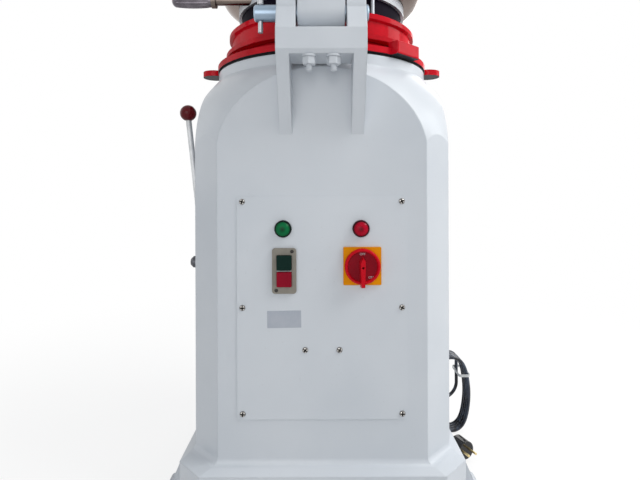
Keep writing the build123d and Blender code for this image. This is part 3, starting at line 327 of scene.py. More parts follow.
wear(enamel("columnEnamel", whiteEnamel, floorGrime=0.22), "column_shell", "base_skirt")
# Painted light: the yoke and the arm take lighter copies of the column's white, standing in for light on
# their downward and recessed faces
yokeEnamel = dict(whiteEnamel, colour=(206, 211, 217), soft=0.003)
wear(enamel("yokeEnamel", yokeEnamel, crispBelow=0.69), "hinge_yoke")
wear(enamel("armEnamel", dict(whiteEnamel, colour=(211, 216, 222), soft=0.005)), "head_arm")
wear(enamel("panelEnamel", dict(whiteEnamel, colour=(205, 210, 216), soft=0.0004), gloss=0.3), "back_panel")


redEnamel = {"colour": (210, 20, 38), "deep": (172, 12, 28), "chip": (92, 74, 70), "bare": (58, 58, 62),
             "seat": 0.837, "soft": 0.0025}


def redCasting(name, sizes):
    f = Finish(name)
    z = f.axes(f.spot)[2]
    up = f.axes(f.facing)[2]
    cloud = f.noise(9.0, 4.0, 0.6)
    cast = f.noise(240.0, 3.0, 0.65)
    colour = f.mix(f.ramp(cloud, 0.3, 0.75), tint(*sizes["colour"]), tint(*sizes["deep"]))
    chip = f.ramp(f.noise(130.0, 4.0, 0.7), 0.715, 0.74)
    colour = f.mix(chip * 0.55, colour, tint(*sizes["chip"]))
    under = f.ramp(up, -0.9, -0.7, 1.0, 0.0) * (z < sizes["seat"])  # the ring's seat is left dark
    colour = f.mix(under, colour, tint(*sizes["bare"]))
    rough = 0.24 + cast * 0.14 + chip * 0.3 + under * 0.3
    return f.finish(
        colour, rough, bump=cast - chip * 0.6, lift=0.0005, strength=0.16, normal=f.soften(sizes["soft"]),
        Specular_IOR_Level=0.0, Coat_Weight=0.22, Coat_Roughness=0.05)


wear(redCasting("redCasting", redEnamel), "base_ring", "table_casting")
print("paints ready")


# Metals
def turnedMetal(name, colour, along, gloss=0.24, lines=900.0, soft=0.0008, grainy=0.35):
    f = Finish(name)
    stretch = tuple(0.02 if axis == along else 1.0 for axis in "xyz")
    grain = f.noise(lines, 3.0, 0.6, stretch=stretch)
    stain = f.noise(28.0, 3.0, 0.6)
    shade = f.mix(f.ramp(stain, 0.35, 0.8) * 0.5, tint(*colour), toned(colour, 0.62))
    shade = f.mix(grain * grainy, shade, toned(colour, 1.15))
    return f.finish(
        shade, gloss + grain * (0.6 * grainy) + stain * 0.08, bump=grain, lift=0.0002, strength=0.34 * grainy,
        normal=f.soften(soft), metallic=1.0)


screwSizes = {"colour": (206, 203, 199), "slot": (16, 15, 14), "dark": -0.2387, "bright": -0.2394}


def screwFinish(sizes):
    f = Finish("screwSteel")
    y = f.axes(f.spot)[1]
    low = f.ramp(y, sizes["bright"], sizes["dark"])  # painted shade: the slot floors and the low rim round the head are coloured near-black as their shade and a contact shadow
    grain = f.noise(900.0, 3.0, 0.6)
    shade = f.mix(grain * 0.6, tint(*sizes["colour"]), toned(sizes["colour"], 0.7))
    shade = f.mix(low, shade, tint(*sizes["slot"]))
    return f.finish(
        shade, 0.2 + grain * 0.2 + low * 0.4, bump=grain, lift=0.0002, strength=0.12, normal=f.soften(0.0003),
        metallic=1 - low * 0.9, Specular_IOR_Level=0.2)


screwSteel = screwFinish(screwSizes)
smallScrewSteel = turnedMetal("smallScrewSteel", (66, 64, 62), "y", gloss=0.3)
steelAlongZ = turnedMetal("steelAlongZ", (176, 178, 182), "z")
wear(turnedMetal("pinSteel", (140, 156, 172), "x", gloss=0.16), "hinge_pin")
wear(turnedMetal("shaftSteel", (150, 152, 156), "x"), "pinion_shaft")
wear(turnedMetal("darkSteel", (84, 85, 90), "x"), "lever_shaft")
wear(steelAlongZ, "pin_lock_rod", "press_spindle", "crank_shaft", "idler_crank_1", "idler_crank_2",
     "idler_crank_3", "table_bearing", "main_bearings", "motor_rotor")
wear(turnedMetal("leverChrome", (190, 193, 197), "z", gloss=0.08, lines=60.0, grainy=0.1), "press_lever_bar")
wear(turnedMetal("rodSteel", (206, 208, 210), "z", gloss=0.55, lines=300.0, grainy=0.15), "lever_rod")
wear(turnedMetal("handleSteel", (108, 98, 92), "x", gloss=0.12, lines=600.0), "handle_rod")
wear(turnedMetal("knifeSteel", (196, 198, 202), "z", gloss=0.2, lines=1400.0), "knife_grid")
wear(turnedMetal("castIron", (74, 75, 78), "z", gloss=0.5, lines=160.0), "bearing_housing", "balance_weight",
     "driven_pulley")
wear(turnedMetal("bronzeBush", (168, 128, 72), "x", gloss=0.3), "lever_bush", "hinge_bush")
wear(turnedMetal("pinBrass", (244, 216, 160), "y", gloss=0.2), "plug_pins")


bellTint = {"colour": (126, 106, 96), "deep": (92, 77, 70), "pale": (166, 146, 134)}


def spunMetal(name, sizes):
    f = Finish(name)
    x, y, z = f.axes(f.spot)
    rings = f.noise(700.0, 3.0, 0.6, vector=f.joined(fromAxis(x, y), z, 0.0))
    cloud = f.noise(6.0, 3.0, 0.6)
    colour = f.mix(f.ramp(cloud, 0.3, 0.75), tint(*sizes["colour"]), tint(*sizes["deep"]))
    colour = f.mix(rings * 0.25, colour, tint(*sizes["pale"]))
    return f.finish(
        colour, 0.08 + rings * 0.10 + cloud * 0.06, bump=rings, lift=0.0001, strength=0.08, metallic=0.95)


wear(spunMetal("bellMetal", bellTint), "bell")


collarSizes = {"foot": 0.956, "footBlend": 0.0005, "white": (204, 208, 213), "shade": (190, 195, 202),
               "pin": (150, 154, 160)}


def collarFinish(sizes):
    f = Finish("collarEnamel")
    z = f.axes(f.spot)[2]
    cloud = f.noise(8.0, 3.0, 0.6)
    foot, blend = sizes["foot"], sizes["footBlend"]
    pinMask = f.ramp(z, foot - blend, foot + blend, 1.0, 0.0)  # the pins below the collar stay bare
    white = f.mix(f.ramp(cloud, 0.35, 0.75), tint(*sizes["white"]), tint(*sizes["shade"]))
    colour = f.mix(pinMask, white, tint(*sizes["pin"]))
    return f.finish(
        colour, 0.24 + cloud * 0.08, bump=f.noise(380.0), lift=0.0002, strength=0.12, normal=f.soften(0.001),
        metallic=pinMask, Specular_IOR_Level=0.4)


wear(collarFinish(collarSizes), "turning_collar")
print("metals ready")


# Plastics, rubbers and lenses
def moulded(name, colour, gloss=0.4, grain=900.0, depth=0.2, soft=0.001, fade=0.85, shine=0.25):
    f = Finish(name)
    cloud = f.noise(14.0, 3.0, 0.6)
    texture = f.noise(grain, 2.0, 0.6)
    scuff = f.ramp(f.noise(75.0, 4.0, 0.65, stretch=(1, 1, 0.2)), 0.62, 0.75)
    tone = f.mix(f.ramp(cloud, 0.3, 0.75), tint(*colour), toned(colour, fade))
    tone = f.mix(scuff * 0.10, tone, tint(*[min(255, v * 0.8 + 50) for v in colour]))
    return f.finish(tone, gloss + texture * 0.12 + scuff * 0.12, bump=texture, lift=0.0003, strength=depth,
                    normal=f.soften(soft), Specular_IOR_Level=shine)


wear(moulded("ringBlack", (22, 17, 30), gloss=0.55, grain=500.0, depth=0.05, shine=0.03), "pressure_ring")
wear(moulded("switchBlack", (26, 26, 28), gloss=0.42), "lever_switch", "cable_gland")
plugBlack = moulded("plugBlack", (10, 10, 13), gloss=0.04, depth=0.04, soft=0.003, shine=0.5)
wear(plugBlack, "plug_body")
wear(moulded("gripBlack", (30, 30, 32), gloss=0.3), "press_lever_grip")
wear(moulded("gasketRubber", (24, 24, 26), gloss=0.6, shine=0.15), "ring_gasket", "friction_pad", "v_belt")
wear(moulded("stationGrey", (150, 145, 135), gloss=0.38, soft=0.0012, shine=0.2), "button_station")
wear(moulded("startGreen", (8, 42, 36), gloss=0.24, fade=0.85, shine=0.06, soft=0.0006), "start_button")
wear(moulded("stopRed", (152, 12, 40), gloss=0.24, fade=0.88, shine=0.06, soft=0.0006), "stop_button")
wear(moulded("isolatorYellow", (226, 144, 0), gloss=0.3, shine=0.06, fade=0.94), "isolator_plate")
wear(moulded("ballRed", (104, 14, 22), gloss=0.08, depth=0.03, fade=0.8, shine=0.16), "lever_ball")
tieWhite = moulded("tieWhite", (226, 228, 228), gloss=0.4)
wear(tieWhite, "cord_tie")
wear(moulded("foodWhite", (210, 209, 203), gloss=0.42, grain=380.0, fade=0.95), "moulding_plate",
     "press_plate")
wear(moulded("motorGrey", (92, 98, 104), gloss=0.42), "motor_body", "motor_bracket")


isolatorSizes = {"x": 0.070, "z": 0.452, "dish": 0.0255, "rim": 0.027, "handleFoot": -0.2475,
                 "bright": (196, 10, 30), "dark": (134, 4, 26)}


def knobFinish(sizes):
    f = Finish("isolatorRed")
    x, y, z = f.axes(f.spot)
    radius = fromAxis(x - sizes["x"], z - sizes["z"])
    facing = f.axes(f.facing)[1]
    dish = f.ramp(radius, sizes["dish"], sizes["rim"], 1.0, 0.0) * (y > sizes["handleFoot"])
    texture = f.noise(700.0, 2.0, 0.5)
    tone = f.mix(dish * f.ramp(facing, -0.9, -0.5, 1.0, 0.0), tint(*sizes["bright"]), tint(*sizes["dark"]))
    return f.finish(
        tone, 0.2 + texture * 0.14, bump=texture, lift=0.0002, strength=0.1, normal=f.soften(0.0008),
        Specular_IOR_Level=0.08)


wear(knobFinish(isolatorSizes), "isolator_knob")


lampSizes = {"x": 0.068, "z": 0.517, "centre": 0.0075, "edge": 0.0085, "rim": 0.0122, "rings": 700.0,
             "spokes": 24.0}


def lampLens(name, sizes, deep, core, side):
    f = Finish(name)
    x, z = f.axes(f.spot)[::2]
    across = x - side * sizes["x"]
    above = z - sizes["z"]
    radius = fromAxis(across, above)
    turn = above.maths("ARCTAN2", above, across)
    edge = f.ramp(radius, sizes["edge"], sizes["rim"])
    centre = f.ramp(radius, 0.0, sizes["centre"], 1.0, 0.0)
    tone = f.mix(edge * 0.4, tint(*core), tint(*deep))
    tone = f.mix(centre * 0.9, tone, tint(*deep))
    ribs = turn.maths("SINE", radius * (2 * pi * sizes["rings"]))
    spokes = turn.maths("SINE", turn * sizes["spokes"])
    return f.finish(tone, 0.14 + edge * 0.08, bump=ribs + spokes * edge, lift=0.0002, strength=0.2,
                    Specular_IOR_Level=0.1, Coat_Weight=0.02, Coat_Roughness=0.06)


wear(lampLens("greenLens", lampSizes, (0, 46, 24), (0, 104, 58), -1), "green_lamp")
wear(lampLens("redLens", lampSizes, (96, 0, 18), (172, 0, 36), 1), "red_lamp")


bezelSizes = {"green": (3, 24, 17), "red": (58, 4, 17)}


def bezelFinish(sizes):
    f = Finish("lampBezels")
    x = f.axes(f.spot)[0]
    texture = f.noise(500.0, 2.0, 0.5)
    colour = f.mix(x > 0.0, tint(*sizes["green"]), tint(*sizes["red"]))
    return f.finish(
        colour, 0.22 + texture * 0.14, bump=texture, lift=0.0002, strength=0.12, normal=f.soften(0.0008),
        Specular_IOR_Level=0.06)


wear(bezelFinish(bezelSizes), "lamp_bezels")
print("plastics ready")


# Pieces grown from node trees
class Grower(Bench):
    def __init__(self, name, sizes):
        self.name = name
        self.sizes = sizes
        super().__init__(bpy.data.node_groups.new(name, "GeometryNodeTree"))
        ports = self.tree.interface
        ports.new_socket("Geometry", in_out="INPUT", socket_type="NodeSocketGeometry")
        ports.new_socket("Geometry", in_out="OUTPUT", socket_type="NodeSocketGeometry")
        self.keys = {}
        for key, value in sizes.items():
            kind = "NodeSocketInt" if isinstance(value, int) else "NodeSocketFloat"
            self.keys[key] = ports.new_socket(key, in_out="INPUT", socket_type=kind).identifier
        self.entry = self.tree.nodes.new("NodeGroupInput")
        self.exit = self.tree.nodes.new("NodeGroupOutput")
        self.points = Signal(self, self.entry.outputs["Geometry"])

    def size(self, key):
        return Signal(self, self.entry.outputs[key])

    def placed(self, shape, place=(0, 0, 0), turn=(0, 0, 0)):
        return self.node("GeometryNodeTransform", None, {
            "Geometry": shape, "Translation": place, "Rotation": turn})

    def lifted(self, shape, height):
        return self.placed(shape, self.joined(0.0, 0.0, height))

    def drum(self, vertices, radius, depth, rows=1, fill="NGON"):
        return self.node("GeometryNodeMeshCylinder", {"fill_type": fill}, {
            "Vertices": vertices, "Side Segments": rows, "Radius": radius, "Depth": depth})

    def reshaped(self, shape, position):
        return self.node("GeometryNodeSetPosition", None, {"Geometry": shape, "Position": position})

    def scattered(self, shape, spin):
        chance = self.node("FunctionNodeRandomValue", {"data_type": "FLOAT"}, {
            2: 0.0, 3: 2 * pi, 8: self.size("seed")}, out=1)
        turn = self.joined(*[chance * axis for axis in spin])
        return self.node("GeometryNodeInstanceOnPoints", None, {
            "Points": self.points, "Instance": shape, "Rotation": turn})

    def grown(self, shape, places, materialMade, sharp=35.0):
        real = self.node("GeometryNodeRealizeInstances", None, {"Geometry": shape})
        dressed = self.node("GeometryNodeSetMaterial", None, {"Geometry": real, "Material": materialMade})
        self.feed(self.exit.inputs[0], dressed)
        seedMesh = bpy.data.meshes.new(self.name)
        seedMesh.from_pydata(places, [], [])
        made = added(self.name, seedMesh)
        modifier = made.modifiers.new(self.name, "NODES")
        modifier.node_group = self.tree
        for key, value in self.sizes.items():
            modifier[self.keys[key]] = value
        shown = made.evaluated_get(bpy.context.evaluated_depsgraph_get())
        mesh = bpy.data.meshes.new_from_object(shown)
        made.modifiers.remove(modifier)
        made.data = mesh
        mesh.shade_smooth()
        mesh.set_sharp_from_angle(angle=radians(sharp))
        return made


panelScrews = {"headRadius": 0.0051, "edge": 0.0006, "dome": 0.0022, "slotWide": 0.0025, "slotLong": 0.0082,
               "slotDeep": 0.0022, "shankRadius": 0.0025, "shankLong": 0.009, "seed": 5}
panelSpots = {"x": 0.1395, "z": (0.1935, 0.379, 0.5645), "middleX": 0.030, "middleZ": 0.305}
panelFace = -0.2375
panelScrewPlaces = [(side * panelSpots["x"], panelFace, z) for side in (-1, 1) for z in panelSpots["z"]]
panelScrewPlaces += [(side * panelSpots["middleX"], panelFace, panelSpots["middleZ"]) for side in (-1, 1)]
stationScrews = dict(panelScrews, headRadius=0.0031, edge=0.0003, dome=0.0012, slotWide=0.0010,
                     slotLong=0.0042, slotDeep=0.0011, shankRadius=0.0015, shankLong=0.004, seed=9)
stationFace = panelFace - 0.005
stationScrewPlaces = [(-0.0522, stationFace, 0.4780), (-0.0798, stationFace, 0.4103)]


def crossHeads(name, sizes, places, materialMade):
    g = Grower(name, sizes)
    ball = g.node("GeometryNodeMeshUVSphere", None, {"Segments": 28, "Rings": 14, "Radius": 1.0})
    x, y, z = g.axes(g.node("GeometryNodeInputPosition"))
    raised = z.most(0.0) * g.size("dome") + (z > -0.001) * g.size("edge")  # the lower half is pressed flat
    head = g.reshaped(ball, g.joined(x * g.size("headRadius"), y * g.size("headRadius"), raised))
    top = g.joined(0.0, 0.0, g.size("dome") + g.size("edge"))
    wide, long, deep = g.size("slotWide"), g.size("slotLong"), g.size("slotDeep") * 2
    slots = [g.placed(g.node("GeometryNodeMeshCube", None, {"Size": g.joined(*size, deep)}), top)
             for size in ((wide, long), (long, wide))]
    head = g.node("GeometryNodeMeshBoolean", {"operation": "DIFFERENCE", "solver": "EXACT"}, {
        "Mesh 1": head, "Mesh 2": slots})
    shank = g.drum(16, g.size("shankRadius"), g.size("shankLong"))
    shank = g.lifted(shank, g.size("shankLong") * -0.5)
    screw = g.placed(g.node("GeometryNodeJoinGeometry", None, {0: [head, shank]}), turn=(pi / 2, 0, 0))
    return g.grown(g.scattered(screw, (0, 1, 0)), places, materialMade)


settle(crossHeads("panelScrews", panelScrews, panelScrewPlaces, screwSteel),
       "column", "bright_steel", "panel_screws")
settle(crossHeads("stationScrews", stationScrews, stationScrewPlaces, smallScrewSteel),
       "column", "bright_steel")


bellScrews = {"headRadius": 0.0065, "headHigh": 0.008, "drawnIn": 0.12, "knurl": 0.03, "keyAcross": 0.0036,
              "keyDeep": 0.004, "shankRadius": 0.004, "shankLong": 0.015, "seed": 3}
bellRing = {"radius": 0.054, "z": 1.122, "angles": (0, 60, 120, 180)}
bellScrewPlaces = [(bellRing["radius"] * cos(radians(a)), bellRing["radius"] * sin(radians(a)), bellRing["z"])
                   for a in bellRing["angles"]]


def socketHeads(name, sizes, places, materialMade):
    g = Grower(name, sizes)
    drum = g.drum(56, g.size("headRadius"), g.size("headHigh"), rows=8)
    drum = g.lifted(drum, g.size("headHigh") * 0.5)
    x, y, z = g.axes(g.node("GeometryNodeInputPosition"))
    ridge = (g.node("GeometryNodeInputIndex") % 2) * (z < g.size("headHigh") * 0.8) * g.size("knurl")
    drawn = 1 - ridge - (z > g.size("headHigh") * 0.95) * g.size("drawnIn")
    head = g.reshaped(drum, g.joined(x * drawn, y * drawn, z))
    key = g.drum(6, g.size("keyAcross"), g.size("keyDeep") * 2)
    head = g.node("GeometryNodeMeshBoolean", {"operation": "DIFFERENCE", "solver": "EXACT"}, {
        "Mesh 1": head, "Mesh 2": [g.lifted(key, g.size("headHigh"))]})
    shank = g.drum(20, g.size("shankRadius"), g.size("shankLong"))
    shank = g.lifted(shank, g.size("shankLong") * -0.5)
    screw = g.node("GeometryNodeJoinGeometry", None, {0: [head, shank]})
    return g.grown(g.scattered(screw, (0, 0, 1)), places, materialMade, sharp=25.0)


settle(socketHeads("bellScrews", bellScrews, bellScrewPlaces, steelAlongZ),
       "head", "bright_steel", "bell_screws")


bridgeNuts = {"washerRadius": 0.0122, "washerThick": 0.0038, "nutAcross": 0.0198, "nutHigh": 0.0122,
              "drawnIn": 0.06, "shankRadius": 0.006, "threadRadius": 0.0054, "studBelow": 0.026,
              "studAbove": 0.042, "pitch": 0.0018, "threadDeep": 0.0006, "endCut": 0.0012, "seed": 2}
bridgeSpots = {"x": 0.020, "y": -0.293, "z": 0.805}
bridgeNutPlaces = [(side * bridgeSpots["x"], bridgeSpots["y"], bridgeSpots["z"]) for side in (-1, 1)]


def stackedNuts(name, sizes, places, materialMade):
    g = Grower(name, sizes)
    x, y, z = g.axes(g.node("GeometryNodeInputPosition"))
    washer = g.drum(48, g.size("washerRadius"), g.size("washerThick"))
    washer = g.lifted(washer, g.size("washerThick") * -0.5)
    nut = g.drum(6, g.size("nutAcross") / 3 ** 0.5, g.size("nutHigh"), rows=12)
    rims = z.maths("ABSOLUTE", z) > g.size("nutHigh") * 0.46
    drawn = 1 - rims * g.size("drawnIn")
    nut = g.reshaped(nut, g.joined(x * drawn, y * drawn, z))
    nut = g.lifted(nut, 0 - g.size("washerThick") - g.size("nutHigh") * 0.5)
    stud = g.drum(24, 1.0, g.size("studBelow") + g.size("studAbove"), rows=240, fill="TRIANGLE_FAN")
    stud = g.lifted(stud, (g.size("studAbove") - g.size("studBelow")) * 0.5)
    wave = 0.5 - z.maths("COSINE", z * (2 * pi) / g.size("pitch") + z.maths("ARCTAN2", y, x)) * 0.5
    thread = g.size("threadRadius") - wave * g.size("threadDeep")
    thread = thread - g.ramp(z + g.size("studBelow"), 0.0, g.size("endCut"), 1.0, 0.0) * g.size("endCut")
    threaded = z < 0 - g.size("washerThick")
    radius = threaded * thread + (1 - threaded) * g.size("shankRadius")
    stud = g.reshaped(stud, g.joined(x * radius, y * radius, z))
    stack = g.node("GeometryNodeJoinGeometry", None, {0: [washer, nut, stud]})
    return g.grown(g.scattered(stack, (0, 0, 1)), places, materialMade, sharp=25.0)


studEnamel = enamel("studEnamel", dict(whiteEnamel, soft=0.0008))
settle(stackedNuts("bridgeNuts", bridgeNuts, bridgeNutPlaces, studEnamel),
       "column", "white_paint", "bridge_studs")


handleGrip = {"long": 0.080, "bow": 0.3091, "fat": 0.0141, "middle": 0.036, "flutes": 14.0,
              "fluteDeep": 0.0013, "tipShare": 0.1, "tipEnd": 0.35}
gripFoot = (-0.221, -0.110, 0.96575)
gripTint = {"colour": (116, 111, 118), "deep": (80, 76, 82)}


def gripFinish(sizes):
    f = Finish("gripMetal")
    grain = f.noise(420.0, 3.0, 0.6, stretch=(0.03, 1, 1))
    cloud = f.noise(30.0, 3.0, 0.6)
    colour = f.mix(f.ramp(cloud, 0.3, 0.75), tint(*sizes["colour"]), tint(*sizes["deep"]))
    return f.finish(colour, 0.16 + grain * 0.16, bump=grain, lift=0.0002, strength=0.12, metallic=0.85)


def flutedGrip(name, sizes, foot, materialMade):
    g = Grower(name, sizes)
    drum = g.drum(112, 1.0, 1.0, rows=64, fill="TRIANGLE_FAN")
    x, y, z = g.axes(g.node("GeometryNodeInputPosition"))
    along = z + 0.5
    reach = along * g.size("long")
    off = reach - g.size("middle")
    barrel = (g.size("bow") * g.size("bow") - off * off) ** 0.5 - g.size("bow") + g.size("fat")
    tip = ((along - 1 + g.size("tipShare")) / g.size("tipShare")).most(0.0)
    barrel = barrel * (1 - tip * tip * (1 - g.size("tipEnd") * g.size("tipEnd"))) ** 0.5
    wave = 0.5 - z.maths("COSINE", z.maths("ARCTAN2", y, x) * g.size("flutes")) * 0.5
    fade = g.ramp(along, 0.04, 0.14) * g.ramp(along, 0.80, 0.92, 1.0, 0.0)
    radius = barrel - wave * fade * g.size("fluteDeep")
    grip = g.reshaped(drum, g.joined(x * radius, y * radius, reach))
    return g.grown(g.placed(grip, foot, (0, -pi / 2, 0)), [(0, 0, 0)], materialMade, sharp=50.0)


settle(flutedGrip("flutedGrip", handleGrip, gripFoot, gripFinish(gripTint)),
       "collar", "grip_plastic", "handle_grip")


bootRibs = {"count": 5, "first": 0.0035, "pitch": 0.0043, "rootRadius": 0.0057, "swell": 0.1, "thick": 0.0011}
bootFoot = tuple(v / 1000 for v in cordSizes["tail"][-1])
bootTurn = (pi / 2, 0, radians(24.6))


def ribbedBoot(name, sizes, foot, turn, materialMade):
    g = Grower(name, sizes)
    row = g.node("GeometryNodeMeshLine", {"mode": "OFFSET"}, {
        "Count": g.size("count"), "Start Location": g.joined(0.0, 0.0, g.size("first")),
        "Offset": g.joined(0.0, 0.0, g.size("pitch"))})
    circle = "GeometryNodeCurvePrimitiveCircle"
    ring = g.node(circle, {"mode": "RADIUS"}, {"Resolution": 40, "Radius": g.size("rootRadius")})
    section = g.node(circle, {"mode": "RADIUS"}, {"Resolution": 10, "Radius": g.size("thick")})
    hoop = g.node("GeometryNodeCurveToMesh", None, {"Curve": ring, "Profile Curve": section})
    reach = g.node("GeometryNodeInputIndex") * g.size("pitch")
    grow = 1 + reach * g.size("swell") / g.size("rootRadius")
    ribs = g.node("GeometryNodeInstanceOnPoints", None, {
        "Points": row, "Instance": hoop, "Scale": g.joined(grow, grow, 1.0)})
    return g.grown(g.placed(ribs, foot, turn), [(0, 0, 0)], materialMade)


plugRibs = settle(ribbedBoot("plugRibs", bootRibs, bootFoot, bootTurn, plugBlack), "column", "black_plastic")
print("screws, nuts, grip and plug ribs grown")


# Bare plate, strip between the buttons and the words on the isolator
def flatPlate(name, wide, high, corner, thick, place, turn=0.0, steps=6):
    outline = []
    for quarter, (sideX, sideZ) in enumerate(((1, 1), (-1, 1), (-1, -1), (1, -1))):
        middle = Vector((sideX * (wide / 2 - corner), sideZ * (high / 2 - corner)))
        for step in range(steps + 1):
            angle = pi / 2 * (quarter + step / steps)
            outline.append(middle + Vector((corner * cos(angle), corner * sin(angle))))
    rings = [(0.0, 1.0), (-0.7 * thick, 1.0), (-thick, 1 - 0.6 * thick / high)]
    count = len(outline)
    points = [(p.x * by, y, p.y * by) for y, by in rings for p in outline]
    faces = [tuple(reversed(range(count))), tuple(range(2 * count, 3 * count))]
    for ring in range(2):
        low = ring * count
        for k in range(count):
            after = (k + 1) % count
            faces.append((low + k, low + after, low + count + after, low + count + k))
    mesh = bpy.data.meshes.new(name)
    mesh.from_pydata(points, [], faces)
    mesh.transform(Matrix.Translation(place) @ Matrix.Rotation(radians(turn), 4, "Y"))
    return added(name, mesh)


barePlate = {"wide": 0.0592, "high": 0.0298, "corner": 0.0008, "thick": 0.0004,
             "place": (-0.0665, panelFace, 0.359), "turn": -0.8}
barePlateTint = {"colour": (168, 174, 185), "worn": (176, 181, 190)}
buttonStrip = {"wide": 0.0256, "high": 0.0016, "corner": 0.0006, "thick": 0.0005,
               "place": (-0.066, stationFace, 0.444)}


def plateFinish(sizes):
    f = Finish("barePlate")
    brushed = f.noise(900.0, 3.0, 0.6, stretch=(0.05, 1, 1))
    cloud = f.noise(40.0, 3.0, 0.6)
    colour = f.mix(f.ramp(cloud, 0.3, 0.75), tint(*sizes["colour"]), tint(*sizes["worn"]))
    return f.finish(
        colour, 0.34 + brushed * 0.2, bump=brushed, lift=0.0001, strength=0.1, Specular_IOR_Level=0.2)


bare = flatPlate("barePlate", **barePlate)
bare.data.materials.append(plateFinish(barePlateTint))
settle(bare, "column", "panel_paint")
strip = flatPlate("buttonStrip", **buttonStrip)
strip.data.materials.append(tieWhite)
settle(strip, "column", "white_plastic")


knobWords = {"face": -0.2469, "size": 0.0058, "thick": 0.0002,
             "words": (("OFF", 0.070, 0.4735), ("ON", 0.0845, 0.4335))}


def printedWord(word, x, z, sizes):
    letters = bpy.data.curves.new("word" + word.capitalize(), "FONT")
    letters.body = word
    letters.size = sizes["size"]
    letters.extrude = sizes["thick"] / 2
    letters.align_x = "CENTER"
    letters.align_y = "CENTER"
    draft = added(letters.name, letters)
    mesh = bpy.data.meshes.new_from_object(draft.evaluated_get(bpy.context.evaluated_depsgraph_get()))
    bpy.data.objects.remove(draft)
    place = Matrix.Translation((x, sizes["face"] - sizes["thick"] / 2, z))
    mesh.transform(place @ Matrix.Rotation(pi / 2, 4, "X"))
    mesh.materials.clear()
    mesh.materials.append(tieWhite)
    return settle(added("word" + word.capitalize(), mesh), "isolator", "white_plastic")


for word, wordX, wordZ in knobWords["words"]:
    printedWord(word, wordX, wordZ, knobWords)
print("plate, strip and words placed")


# Rounded joint where the column stands on its flared skirt
skirtFillet = {"wall": (0.236, 0.052, 0.1155), "joint": (0.236, 0.052, 0.107),
               "flare": (0.24347, 0.04996, 0.10327), "back": (0.2350, 0.052, 0.1055), "steps": 8}


def eightCorners(half, cut, z):
    near = half - cut
    quarter = [Vector((half, -near, z)), Vector((half, near, z))]
    return [Matrix.Rotation(turn * pi / 2, 3, "Z") @ corner for turn in range(4) for corner in quarter]


def filletRound(name, sizes):
    wall, joint, flare = [eightCorners(*sizes[key]) for key in ("wall", "joint", "flare")]
    rows = []
    for step in range(sizes["steps"] + 1):
        t = step / sizes["steps"]
        shares = (1 - t) ** 2, 2 * t * (1 - t), t * t
        rows.append([a * shares[0] + b * shares[1] + c * shares[2] for a, b, c in zip(wall, joint, flare)])
    rows.append(eightCorners(*sizes["back"]))
    points = [point for row in rows for point in row]
    faces = []
    for row in range(len(rows)):
        after = (row + 1) % len(rows)
        for k in range(8):
            beside = (k + 1) % 8
            faces.append((row * 8 + k, after * 8 + k, after * 8 + beside, row * 8 + beside))
    mesh = bpy.data.meshes.new(name)
    mesh.from_pydata(points, [], faces)
    mesh.shade_smooth()
    mesh.set_sharp_from_angle(angle=radians(30))
    mesh.materials.append(enamel("filletEnamel", dict(whiteEnamel, soft=0.0)))
    return added(name, mesh)


settle(filletRound("skirtFillet", skirtFillet), "column", "white_paint")
print("skirt joint rounded")


# Floor and light
stageSizes = {"floor": 30.0, "near": 0.45, "far": 1.7, "plain": 0.80, "bounce": 0.66,
              "pale": (0.95, 0.95, 0.95, 1), "sky": (0.94, 0.97, 1.0, 1), "skyPower": 0.42}
lamps = {
    "keyLight": {"place": (2.6, -0.8, 2.9), "aimHigh": 0.6, "size": 1.8, "power": 82.0,
                 "colour": (1, 0.99, 0.97)},
    "windowLight": {"place": (2.9, 0.5, 1.75), "aimHigh": 0.8, "size": 1.2, "power": 12.0},
    "frontLight": {"place": (-0.7, -3.0, 0.8), "aimHigh": 0.7, "size": 2.2, "power": 23.0},
    "topLight": {"place": (1.2, -0.7, 3.2), "aimHigh": 0.6, "size": 2.4, "power": 12.0},
    "backLight": {"place": (1.0, 2.9, 2.0), "aimHigh": 0.7, "size": 2.0, "power": 26.0},
    "sideLight": {"place": (-3.2, 0.6, 1.5), "aimHigh": 0.6, "size": 2.2, "power": 8.0},
}


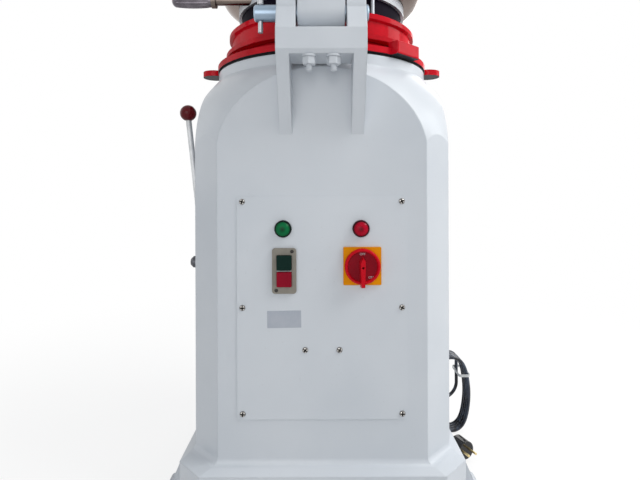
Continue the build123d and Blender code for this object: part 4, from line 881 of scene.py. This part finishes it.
def layFloor(sizes):
    half = sizes["floor"]
    mesh = bpy.data.meshes.new("paleFloor")
    corners = [(-half, -half, 0), (half, -half, 0), (half, half, 0), (-half, half, 0)]
    mesh.from_pydata(corners, [], [(0, 1, 2, 3)])
    floor = added("paleFloor", mesh)
    f = Finish("paleFloor")
    f.finish(sizes["pale"], 0.6, Specular_IOR_Level=0.2)
    x, y = f.axes(f.spot)[:2]
    away = f.ramp(fromAxis(x, y), sizes["near"], sizes["far"], sizes["plain"], 1.0)  # white further out
    glow = f.node("ShaderNodeEmission", None, {"Color": (1, 1, 1, 1), "Strength": 1.0})
    dull = f.node("ShaderNodeBsdfDiffuse", None, {"Color": (*[sizes["bounce"]] * 3, 1)})
    pale = f.node("ShaderNodeMixShader", None, {0: away, 1: Signal(f, f.shader.outputs[0]), 2: glow})
    mixed = f.node("ShaderNodeMixShader", None, {0: f.seenRay(), 1: dull, 2: pale})
    f.feed(f.tree.nodes["Material Output"].inputs["Surface"], mixed)
    mesh.materials.append(f.material)


def openSky(sizes):
    world = bpy.data.worlds.new("studioSky")
    bpy.context.scene.world = world
    world.use_nodes = True
    bench = Bench(world.node_tree)
    seen = bench.seenRay()
    ground = bench.tree.nodes["Background"]
    bench.feed(ground.inputs["Color"], bench.mix(seen, sizes["sky"], (1, 1, 1, 1)))
    bench.feed(ground.inputs["Strength"], seen * (1.0 - sizes["skyPower"]) + sizes["skyPower"])


def hangLamp(name, sizes):
    light = bpy.data.lights.new(name, "AREA")
    light.energy = sizes["power"]
    light.size = sizes["size"]
    light.color = sizes.get("colour", (1, 1, 1))
    lamp = added(name, light)
    lamp.location = sizes["place"]
    aim = Vector((0.0, 0.0, sizes["aimHigh"])) - Vector(sizes["place"])
    lamp.rotation_euler = aim.to_track_quat("-Z", "Y").to_euler()


layFloor(stageSizes)
openSky(stageSizes)
for lampName, lampPlan in lamps.items():
    hangLamp(lampName, lampPlan)
bpy.context.scene.view_settings.view_transform = "Standard"
print("studio set")
